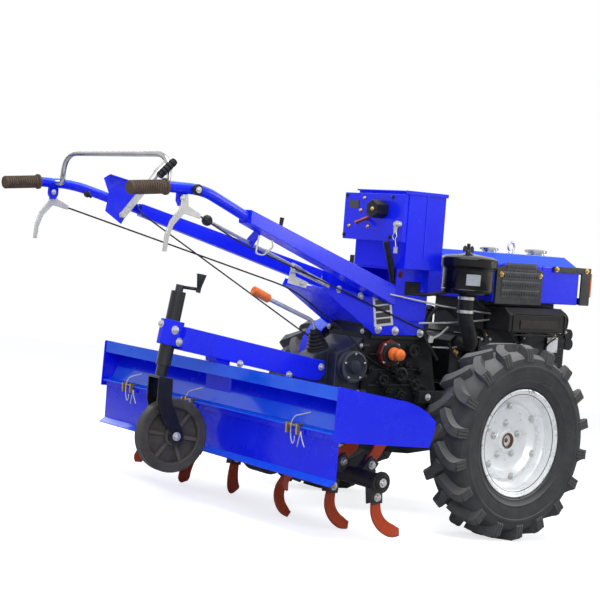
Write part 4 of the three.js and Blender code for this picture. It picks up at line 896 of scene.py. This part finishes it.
piece("wing_nut", wing, black_paint, BODY, bevel=0.8)
pale_label = finish("blank_label", (0.36, 0.38, 0.40), (0.46, 0.48, 0.50), 0.5, grain=300, patch=40,
                    bump=0.02)
label = []
LABEL_STRIPS = 8
LABEL_RADIUS = 84.6
for i in range(LABEL_STRIPS + 1):
    a = math.radians(222 + i * 4)
    label.append(Vector((CLEANER[0] + LABEL_RADIUS * math.cos(a),
                         CLEANER[1] + LABEL_RADIUS * math.sin(a), 490)))
label_points = label + [Vector((p.x, p.y, 526)) for p in label]
label_faces = [[i, i + 1, LABEL_STRIPS + 2 + i, LABEL_STRIPS + 1 + i] for i in range(LABEL_STRIPS)]
piece("air_cleaner_label", (label_points, label_faces), pale_label, BODY, smooth=60)
rounded("intake_pipe", boot_rubber, BODY, 1.0, 2, 45)
clips = []
for z in (446, 402):
    clips.append(stood(turned([[25, -5], [27, -5], [27, 5], [25, 5], [25, -5]], 40), *CLEANER, z))
    clips.append(block(-103, -93, -180, -168, z - 5, z + 5))
piece("hose_clips", merge(*clips), zinc, BODY, smooth=40)

# ------------------------------------------------------------------ muffler
# A flat pressed box along the right side, with a recessed panel in its outer face.
exhaust_black = finish("exhaust_black", (0.006, 0.006, 0.007), (0.017, 0.016, 0.016), 0.45,
                       metallic=0.2, grain=420, patch=16, bump=0.15, wear=0.4,
                       worn_colour=(0.15, 0.12, 0.10))
rounded("muffler", exhaust_black, BODY, 5.0, 3)
edge = bend([(85, -241, 340), (85, -241, 405), (338, -241, 405), (338, -241, 335), (85, -241, 335),
             (85, -241, 352)], 12)
piece("muffler_bead", merge(swept(edge, 2.4, 8), block(120, 300, -243, -239, 356, 384)), exhaust_black,
      BODY, bevel=0.8, smooth=50)

# ------------------------------------------------------------------ flywheel, clutch and belts
# A heavy flywheel pulley on the left drives a smaller clutch pulley through four V-belts,
# behind a folded blue guard.
rounded("flywheel", cast_grey, BODY, 2.0)
rounded("clutch_pulley", cast_grey, BODY, 1.5)
rounded("drive_belts", boot_rubber, BODY, 0, 1)
rounded("belt_guard", blue_paint, BODY, 2.5, 3)
guard_skin = level_y(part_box("belt_guard")[1].y)
guard_bolts = []
for x, z in ((-290, 215), (300, 235)):
    guard_bolts.append(bolt((x, guard_skin - 0.5, z), (0, 1, 0), 9, 7))
piece("belt_guard_bolts", merge(*guard_bolts), zinc, BODY, bevel=0.5, steps=1)

# ------------------------------------------------------------------ handle base
# Two folded blue side plates bolted to the gearbox; the beams are clamped between them.
rounded("handle_base", blue_paint, BODY, 1.6)
base_bolts = []
for side in (-1, 1):
    for x, z in ((-386, 332), (-313, 327), (-203, 322)):
        base_bolts.append(bolt((x, side * 104.3, z), (0, side, 0), 10, 8))
    for x, z in ((-560, 452), (-470, 434), (-452, 476)):
        base_bolts.append(bolt((x, side * 104.3, z), (0, side, 0), 8, 6))
piece("handle_base_bolts", merge(*base_bolts), zinc, BODY, bevel=0.6, steps=1)
PLATE_TOP = (Vector((-424, 455)), Vector((-349, 464)))
PLATE_FOOT = (Vector((-403, 338)), Vector((-323, 346)))
piece("data_plate", slab([*PLATE_TOP, *reversed(PLATE_FOOT)], -106, -104), plate_metal, BODY,
      bevel=0.3, steps=1)
fields = []
for low, high in ((0.07, 0.20), (0.24, 0.37), (0.41, 0.55), (0.59, 0.72), (0.76, 0.92)):
    corners = []
    for up_share, across_share in ((low, 0.12), (low, 0.88), (high, 0.88), (high, 0.12)):
        a = PLATE_FOOT[0].lerp(PLATE_TOP[0], up_share)
        b = PLATE_FOOT[1].lerp(PLATE_TOP[1], up_share)
        corners.append(tuple(a.lerp(b, across_share)))
    fields.append(slab(corners, -106.6, -105.5))
piece("data_plate_fields", merge(*fields), black_paint, BODY)
piece("window_screw", bolt((-309, -104.3, 508), (0, -1, 0), 7, 5), cast_red, BODY, bevel=0.4,
      steps=1)
# a dark sheet just inside the window in the right side plate: painted shade standing for the dim space behind
# it
piece("window_shade", block(-290, -210, -97.4, -96, 438, 492), boot_rubber, BODY)
knob = merge(
    swept([(-536, -100, 538), (-536, -126, 538)], 4.5),
    swept([(-536, -128, 514), (-536, -128, 562)], 7, 16))
piece("t_knob", knob, boot_rubber, BODY, bevel=1, smooth=50)

# ------------------------------------------------------------------ handle beams and control rod
# Two pressed blue box beams taper from the base to the handle tubes. A plated rod with a
# ball end runs beside the right one.
for hand in ("right", "left"):
    rounded(f"handle_beam_{hand}", blue_paint, BODY, 3.0, 3)
rounded("control_rod", zinc, BODY, 0, 1, 40)

# ------------------------------------------------------------------ handle tubes, grips, levers
# Blue steel tubes bend out to ribbed rubber grips with a flange. A plated steering lever
# hangs under each, and the clutch lever stands beside the left one.
black_plastic = finish("black_plastic", (0.012, 0.012, 0.014), (0.022, 0.022, 0.025), 0.38, grain=500,
                       patch=20, bump=0.06)
grip_rubber = finish("grip_rubber", (0.070, 0.048, 0.034), (0.105, 0.076, 0.055), 0.62, grain=600,
                     patch=30, bump=0.15)
GRIP_OUTSET = 349
GRIP_END = (-1488, 699.6)
GRIP_START = (-1374, 710.9)
GRIP_RIBS = 13
GRIP_RIB_STEP = 7.2
for hand, sign in (("right", -1), ("left", 1)):
    rounded(f"handle_tube_{hand}", blue_paint, BODY, 0, 1, 40)
    rounded(f"steering_lever_{hand}", zinc, BODY, 1.2, 2)
    # the grip runs along the end of the tube: a flange, then a ribbed sleeve
    sleeve = [[15.4, -2], [18, -2], [19, 0], [19, 4]]
    for i in range(GRIP_RIBS):
        y = 8 + i * GRIP_RIB_STEP
        sleeve += [[16.9, y], [18.9, y + 1.2], [18.9, y + 4.4], [16.9, y + 5.6]]
    sleeve += [[18, 103], [22, 104], [22.5, 107], [22, 111], [18, 112], [15.4, 112], [15.4, -2]]
    start = Vector((GRIP_END[0], sign * GRIP_OUTSET, GRIP_END[1]))
    end = Vector((GRIP_START[0], sign * GRIP_OUTSET, GRIP_START[1]))
    cap = [[0, -5.6], [12, -5.4], [17, -3.5], [18.4, 0], [15.4, 0], [0, 0]]
    shape = aimed(merge(turned(sleeve, 40), turned(cap, 40)), start, end - start)
    piece(f"grip_{hand}_finished", shape, grip_rubber, BODY, [f"grip_{hand}"], smooth=45)
rounded("clutch_lever", zinc, BODY, 0.8, 2)
fittings = merge(
    aimed(turned([[0, -4], [14, -4], [15, -2], [15, 6], [13, 8], [0, 8]], 32), (-1292, -366, 709),
          (0, -1, 0)),
    aimed(turned([[0, 0], [4, 0], [4, 12], [9, 14], [10.5, 20], [9, 25], [0, 26]], 24),
          (-1254, 250, 676), (-0.85, -0.3, 0.4)),
    swept([(-922, -256, 626), (-918, -256, 656)], [5, 6.5], 16),
    swept([(-1176, -250, 631.5), (-1170, -250, 630.5)], [11, 11], 20))
BALL_RADIUS = 15.5
BALL_RINGS = 8
ball = []
for i in range(BALL_RINGS + 1):
    a = math.pi * i / BALL_RINGS
    ball.append([max(BALL_RADIUS * math.sin(a), 0.01), -BALL_RADIUS * math.cos(a)])
fittings = merge(fittings, moved(turned(ball, 28), -1173, -250, 631))
twist = [[0, 0], [9, 0]]
for i in range(5):
    twist += [[11, 2 + i * 12], [11, 9 + i * 12], [8, 10 + i * 12], [8, 12 + i * 12]]
twist += [[10, 62], [8, 64], [0, 64]]
fittings = merge(fittings, aimed(turned(twist, 24), (-1371, -300, 738), (0.72, 0, 0.69)))
piece("handle_fittings", fittings, black_plastic, BODY, smooth=45)
lever_bolts = merge(
    bolt((-1292, -374, 709), (0, -1, 0), 6, 5), bolt((-1330, -357, 683), (0, -1, 0), 5.5, 5),
    bolt((-1330, 342, 683), (0, -1, 0), 5.5, 5),
    swept(bend([(-995, -256, 601), (-1003, -256, 549), (-975, -256, 545), (-942, -256, 571),
                (-948, -256, 590)], 9), 2.6, 10),
    slab([(-776, 525), (-789, 465), (-718, 452), (-712, 470), (-760, 486)], -139, -136),
    bolt((-772, -139, 500), (0, -1, 0), 6, 5), bolt((-735, -139, 466), (0, -1, 0), 6, 5))
piece("handle_bolts", lever_bolts, zinc, BODY, smooth=35)

# ------------------------------------------------------------------ hoop and cables
# A chromed hoop joins the tubes behind the box. Black cables run from the levers down the
# beams to the gearbox.
rounded("handle_hoop", chrome, BODY, 0, 1, 50)
for cable in ("steering_cable_right", "steering_cable_left", "clutch_cable"):
    rounded(cable, boot_rubber, BODY, 0, 1, 60)

# ------------------------------------------------------------------ control box
# A folded blue box with a lid above the gearbox. Its rear panel carries a small window, a
# six-sided black relay case and a conduit.
rounded("control_box", blue_paint, BODY, 2.5, 3)
rounded("control_panel", blue_paint, BODY, 2.0, 3)
rounded("relay_case", black_plastic, BODY, 1.6, 3)
glass = finish("dark_window", (0.006, 0.008, 0.014), (0.012, 0.015, 0.022), 0.12, coat=0.8, grain=200,
               patch=12, bump=0.0, spread=0.04)
piece("panel_window", slab([(81, 714), (130, 714), (130, 739), (81, 739)], -348, -345.5, "x"), glass,
      BODY, bevel=0.6)
conduit_line = [(-377, -100, 612), (-353, -100, 547), (-293, -60, 479)]
conduit = swept(bend(conduit_line, 20), 9, 14)
RIB_PITCH = 7
ribs = []
route = bend(conduit_line, 20, 10)
for a, b in zip(route, route[1:]):
    steps = max(1, int((b - a).length / RIB_PITCH))
    for i in range(steps):
        at = a.lerp(b, i / steps)
        ribs.append(aimed(turned([[9, 0], [10.6, 1], [10.6, 3], [9, 4]], 14), at, b - a))
piece("conduit", merge(conduit, *ribs), black_plastic, BODY, smooth=50)
corner_screws = [bolt((-346, y, z), (-1, 0, 0), 5, 3.5) for y,
                 z in ((144, 755), (-82, 754), (147, 625), (-80, 626))]
piece("panel_corner_screws", merge(*corner_screws), black_paint, BODY, bevel=0.4, steps=1)
panel_screws = [aimed(turned([[0, 0], [6.5, 0], [6.5, 2], [4.5, 5], [0, 6]], 20), (-346, y, z),
                      (-1, 0, 0))
                for y, z in ((55, 747), (70, 707), (123, 654), (29, 655))]
panel_screws.append(aimed(turned([[0, 0], [7, 0], [7, 3], [4, 6], [0, 7]], 20), (-396, -46, 712),
                          (-1, 0, 0)))
piece("panel_screws", merge(*panel_screws), gold, BODY, smooth=40)
copper = finish("toggle_red", (0.16, 0.035, 0.025), (0.26, 0.07, 0.05), 0.3, metallic=0.4, grain=300,
                patch=30, bump=0.03)
toggle = swept([(-346, 34, 682), (-352, 34, 682), (-366, 38, 676), (-388, 46, 664)], [8, 7, 5, 6.5], 16)
piece("panel_toggle", toggle, copper, BODY, smooth=50)
keys = merge(
    swept([(-346, -124, 668), (-360, -124, 668)], 11, 20),
    swept([(-360, -124, 668), (-368, -124, 668)], 7, 16),
    slab([(-132, 638), (-120, 638), (-118, 660), (-134, 660)], -366, -363, "x"),
    swept(bend([(-366, -126, 646), (-368, -138, 638), (-368, -138, 624), (-366, -126, 616),
                (-366, -116, 626), (-366, -122, 642)], 7), 1.3, 8),
    swept([(-366, -130, 620), (-366, -134, 604), (-366, -135, 596)], 1.6, 8),
    slab([(-143, 576), (-127, 576), (-127, 596), (-143, 596)], -367, -365, "x"))
piece("switch_and_keys", keys, zinc, BODY, smooth=45)
box_trim = merge(block(-345, -160, -144, -141.5, 765, 777), block(-250, -246, -141.8, -140, 560, 770))
piece("control_box_hem", box_trim, blue_paint, BODY, bevel=0.6)

# ------------------------------------------------------------------ tiller case
# A grey cast case behind the gearbox reaches down to the rotor shaft.
rounded("tiller_case", cast_grey, BODY, 3.0, 3)

# ------------------------------------------------------------------ tiller rotor
# A black shaft tube with a flat holder at each row; a broad curved blade is bolted in every
# holder and bends out sideways towards its tip.
tine_paint = finish("tine_paint", (0.40, 0.045, 0.013), (0.62, 0.085, 0.022), 0.5, grain=420, patch=30,
                    bump=0.18, wear=0.9, worn_colour=(0.20, 0.17, 0.15), mottle=0.9)
shaft_black = finish("shaft_black", (0.010, 0.010, 0.011), (0.03, 0.028, 0.027), 0.5, grain=420,
                     patch=20, bump=0.15, wear=0.5, worn_colour=(0.2, 0.19, 0.18))
rotor_at = Vector((-719, 0, -66))
RIGHT_TIPS = (165, 14, -115, 70, -14, 125, -160, -28)
LEFT_TIPS = (-160, -14, 120, -115, 14, 165, -75, 42)
SHAFT_HALF = 552
SHAFT_RADIUS = 24
FIRST_HOLDER = 92
HOLDER_STEP = 60
HOLDER_BOLT = 46
BLADE_TURN = math.radians(15.3)
BLADE_STATIONS = 18
BLADE_BEND_START = 0.3


def collar(outer, low, high, steps):
    return turned([[SHAFT_RADIUS, low], [outer, low], [outer, high], [SHAFT_RADIUS, high],
                   [SHAFT_RADIUS, low]], steps)


tube = turned([
    [0, -SHAFT_HALF], [20, -SHAFT_HALF], [SHAFT_RADIUS, -SHAFT_HALF + 3],
    [SHAFT_RADIUS, -SHAFT_HALF + 24],
    [SHAFT_RADIUS, 0], [SHAFT_RADIUS, SHAFT_HALF - 24], [SHAFT_RADIUS, SHAFT_HALF - 3], [20, SHAFT_HALF],
    [0, SHAFT_HALF]], 40)
shaft_parts, blades, fixings = [tube], [], []
for side, tips in ((-1, RIGHT_TIPS), (1, LEFT_TIPS)):
    shaft_parts.append(collar(31, side * 540, side * 548, 36))
    fixings.append(bolt((0, side * SHAFT_HALF, 0), (0, side, 0), 9, 7))
    for i, tip in enumerate(tips):
        y = side * (FIRST_HOLDER + i * HOLDER_STEP)
        # a tip's angle is from straight down while the machine stands pitched
        aim = math.radians(tip) + PITCH
        # each blade is made with its shank out along +Z and its tip trailing to -X
        spin = Matrix.Rotation(math.radians(180) + aim, 4, "Y") @ Matrix.Rotation(BLADE_TURN, 4, "Y")
        holder = merge(block(-19, 19, -15, -9.5, 10, 66), block(-19, 19, 9.5, 15, 10, 66),
                       block(-19, -14.5, -10, 10, 18, 60),
                       block(14.5, 19, -10, 10, 18, 60))
        shaft_parts.append(moved(placed(holder, spin), 0, y, 0))
        nuts = merge(bolt((0, -15, HOLDER_BOLT), (0, -1, 0), 8.5, 7),
                     bolt((0, 15, HOLDER_BOLT), (0, 1, 0), 8.5, 8))
        fixings.append(moved(placed(nuts, spin), 0, y, 0))
        spine, widths = [], []
        for j in range(BLADE_STATIONS + 1):
            t = j / BLADE_STATIONS
            round_share = max(0, (t - BLADE_BEND_START) / 0.7) * math.pi / 2
            curl = 1 - math.cos(round_share)
            reach = 24 + 60 * min(t / BLADE_BEND_START, 1) + 69 * math.sin(round_share)
            spine.append(Vector((-4 - 52 * curl, side * 40 * curl, reach)))
            widths.append(27 + 13 * math.sin(min(1, t * 1.1) * math.pi * 0.6) - (max(0, t - 0.86) * 120))
        blade = swept(spine, 0, flat=(widths, 8, (1, 0, 0.2)))
        blades.append(moved(placed(blade, spin), 0, y, 0))
        if i == 0:
            middle = y - side * HOLDER_STEP / 2
            shaft_parts.append(collar(34, middle - 6, middle + 6, 30))
set_rotor = Matrix.Translation(rotor_at)
piece("rotor_shaft", placed(merge(*shaft_parts), set_rotor), shaft_black, "rotor_body",
      ["tiller_rotor"], bevel=1.0, smooth=35)
piece("rotor_tines", placed(merge(*blades), set_rotor), tine_paint, "rotor_body",
      bevel=1.4, smooth=50)
piece("rotor_bolts", placed(merge(*fixings), set_rotor), zinc, "rotor_body", bevel=0.5, steps=1)

# ------------------------------------------------------------------ tiller hood
# Folded blue sheet over the rotor. Thin paler-blue sheets on its rear rail, its sloping panel and the hinge
# line are a painted highlight. Three hinges with yellow clips and wire hairpins carry the flap.
rounded("tiller_hood", blue_paint, BODY, 1.4)
fin = [(-872, 190), (-904, 164), (-904, 122), (-915, 96)]
hood_bits = merge(
    block(-906, -903, -51, 80, 122, 168), slab(fin, -52, -49), slab(fin, 78, 81),
    block(-937, -934, -600, 600, 28, 82), block(-952, -938, -604, 604, 81.5, 84),
    block(-949, -946, -596, -470, 66, 80), block(-949, -946, -388, 52, 66, 80),
    block(-949, -946, 138, 398, 66, 80),
    block(-949, -946, 482, 596, 66, 80))
clips, pins = [], []
for y in (-430, 95, 440):
    clips.append(block(-966, -944, y - 26, y - 20, 62, 92))
    clips.append(block(-966, -944, y + 20, y + 26, 62, 92))
    clips.append(block(-958, -946, y - 26, y + 26, 84, 88))
    pin = bend([(-940, y - 50, 128), (-958, y - 4, 112), (-966, y + 2, 92), (-968, y - 4, 52),
                (-967, y - 12, 34), (-966, y - 20, 46),
                (-966, y - 18, 58)], 9)
    pins.append(swept(pin, 1.6, 8))
    pins.append(swept(bend([(-966, y - 44, 74), (-968, y - 40, 50), (-967, y - 34, 30)], 6), 1.6, 8))
    pins.append(swept(bend([(-966, y - 44, 74), (-968, y - 54, 54), (-967, y - 66, 34)], 6), 1.6, 8))
# a paler copy of the blue paint: painted highlight on the rail face, the sloping panel and the hinge line
highlight_blue = finish("highlight_blue", (0.006, 0.095, 0.94), (0.010, 0.14, 0.97), 0.2, coat=0.5, grain=160,
                    patch=7, bump=0.02, spread=0.06)
slope = slab([(-870, 182), (-921, 88.5), (-925, 88.5), (-871.5, 187)], -602, 602)
rail = merge(slope, block(-952.4, -950.8, -603, 603, 176, 211.5),
             swept([(-956, -600, 84.2), (-956, 600, 84.2)], 1.6, 8))
piece("hood_painted_highlight", rail, highlight_blue, BODY, bevel=0.4)
piece("hood_gussets", hood_bits, blue_paint, BODY, bevel=0.8)
piece("hinge_clips", merge(*clips), gold, BODY, bevel=0.6)
piece("hinge_hairpins", merge(*pins), zinc, BODY, smooth=60)
rounded("rear_flap", blue_paint, "flap_body", 1.0)

# ------------------------------------------------------------------ tail beam and gauge clamp
# A blue channel runs over the hood to a thick clamp block, and a black sleeve stands in it.
rounded("tail_beam", blue_paint, BODY, 2.0)
rounded("gauge_clamp", blue_paint, BODY, 2.0, 3)
tail_bolts = []
for x, z in ((-559.5, 203), (-685, 178), (-875, 211)):
    tail_bolts.append(bolt((x, -46, z), (0, -1, 0), 8, 7))
tail_bolts += [bolt((-1147, -20, 324), (-0.987, 0, 0.163), 8, 7),
               bolt((-1106, -30, 307), (0, -1, 0), 9, 8), bolt((-1088, -30, 272), (0, -1, 0), 9, 8)]
piece("tail_bolts", merge(*tail_bolts), zinc, BODY, bevel=0.5, steps=1)
rounded("gauge_sleeve", black_paint, BODY, 1.0, 2, 40)

# ------------------------------------------------------------------ gauge post, fork and wheel
# A post slides in the sleeve, moved by the screw of the crank on top. Under it a black
# trailing fork holds a small six-spoked wheel of grey-brown plastic.
rounded("gauge_post", black_paint, "gauge_post_body", 0.6, 2, 40)
rounded("gauge_crank", black_paint, BODY, 0, 1, 45)
rounded("gauge_fork", black_paint, "gauge_fork_body", 1.6, 3, 35)
wheel_grey = finish("wheel_grey", (0.045, 0.042, 0.040), (0.080, 0.074, 0.070), 0.55, grain=500,
                    patch=22, bump=0.12, wear=0.4, worn_colour=(0.25, 0.22, 0.2))
POST_LEAN = math.radians(9.4)
FORK_SWING = math.radians(-7)
POST = (Matrix.Translation((-1124, 0, 168)) @ Matrix.Rotation(POST_LEAN, 4, "Y")
        @ Matrix.Rotation(FORK_SWING, 4, "Z"))
wheel_at = POST @ Matrix.Translation((72, 0, -163))
body_wheel = turned([
    [84, -20], [106, -20], [110, -16], [110, 16], [106, 20], [84, 20], [80, 16], [80, 4], [40, 4],
    [30, 8], [30, 22],
    [26, 24], [12, 24], [12, -24], [26, -24], [30, -22], [30, -8], [40, -4], [80, -4], [80, -16],
    [84, -20]], 72)
SPOKES = 6
spoke = block(26, 84, -14, 14, -5.5, 5.5)
spokes = [placed(spoke, Matrix.Rotation(math.radians(360 / SPOKES * i), 4, "Y")) for i in range(SPOKES)]
piece("gauge_wheel_finished", placed(merge(body_wheel, *spokes), wheel_at), wheel_grey,
      "gauge_wheel_body", ["gauge_wheel"], bevel=1.0, smooth=30)
axle = merge(bolt((0, -37.5, 0), (0, -1, 0), 9, 7), bolt((0, 37.5, 0), (0, 1, 0), 9, 7))
piece("gauge_axle_nuts", placed(axle, wheel_at), zinc, "gauge_fork_body", bevel=0.5, steps=1)
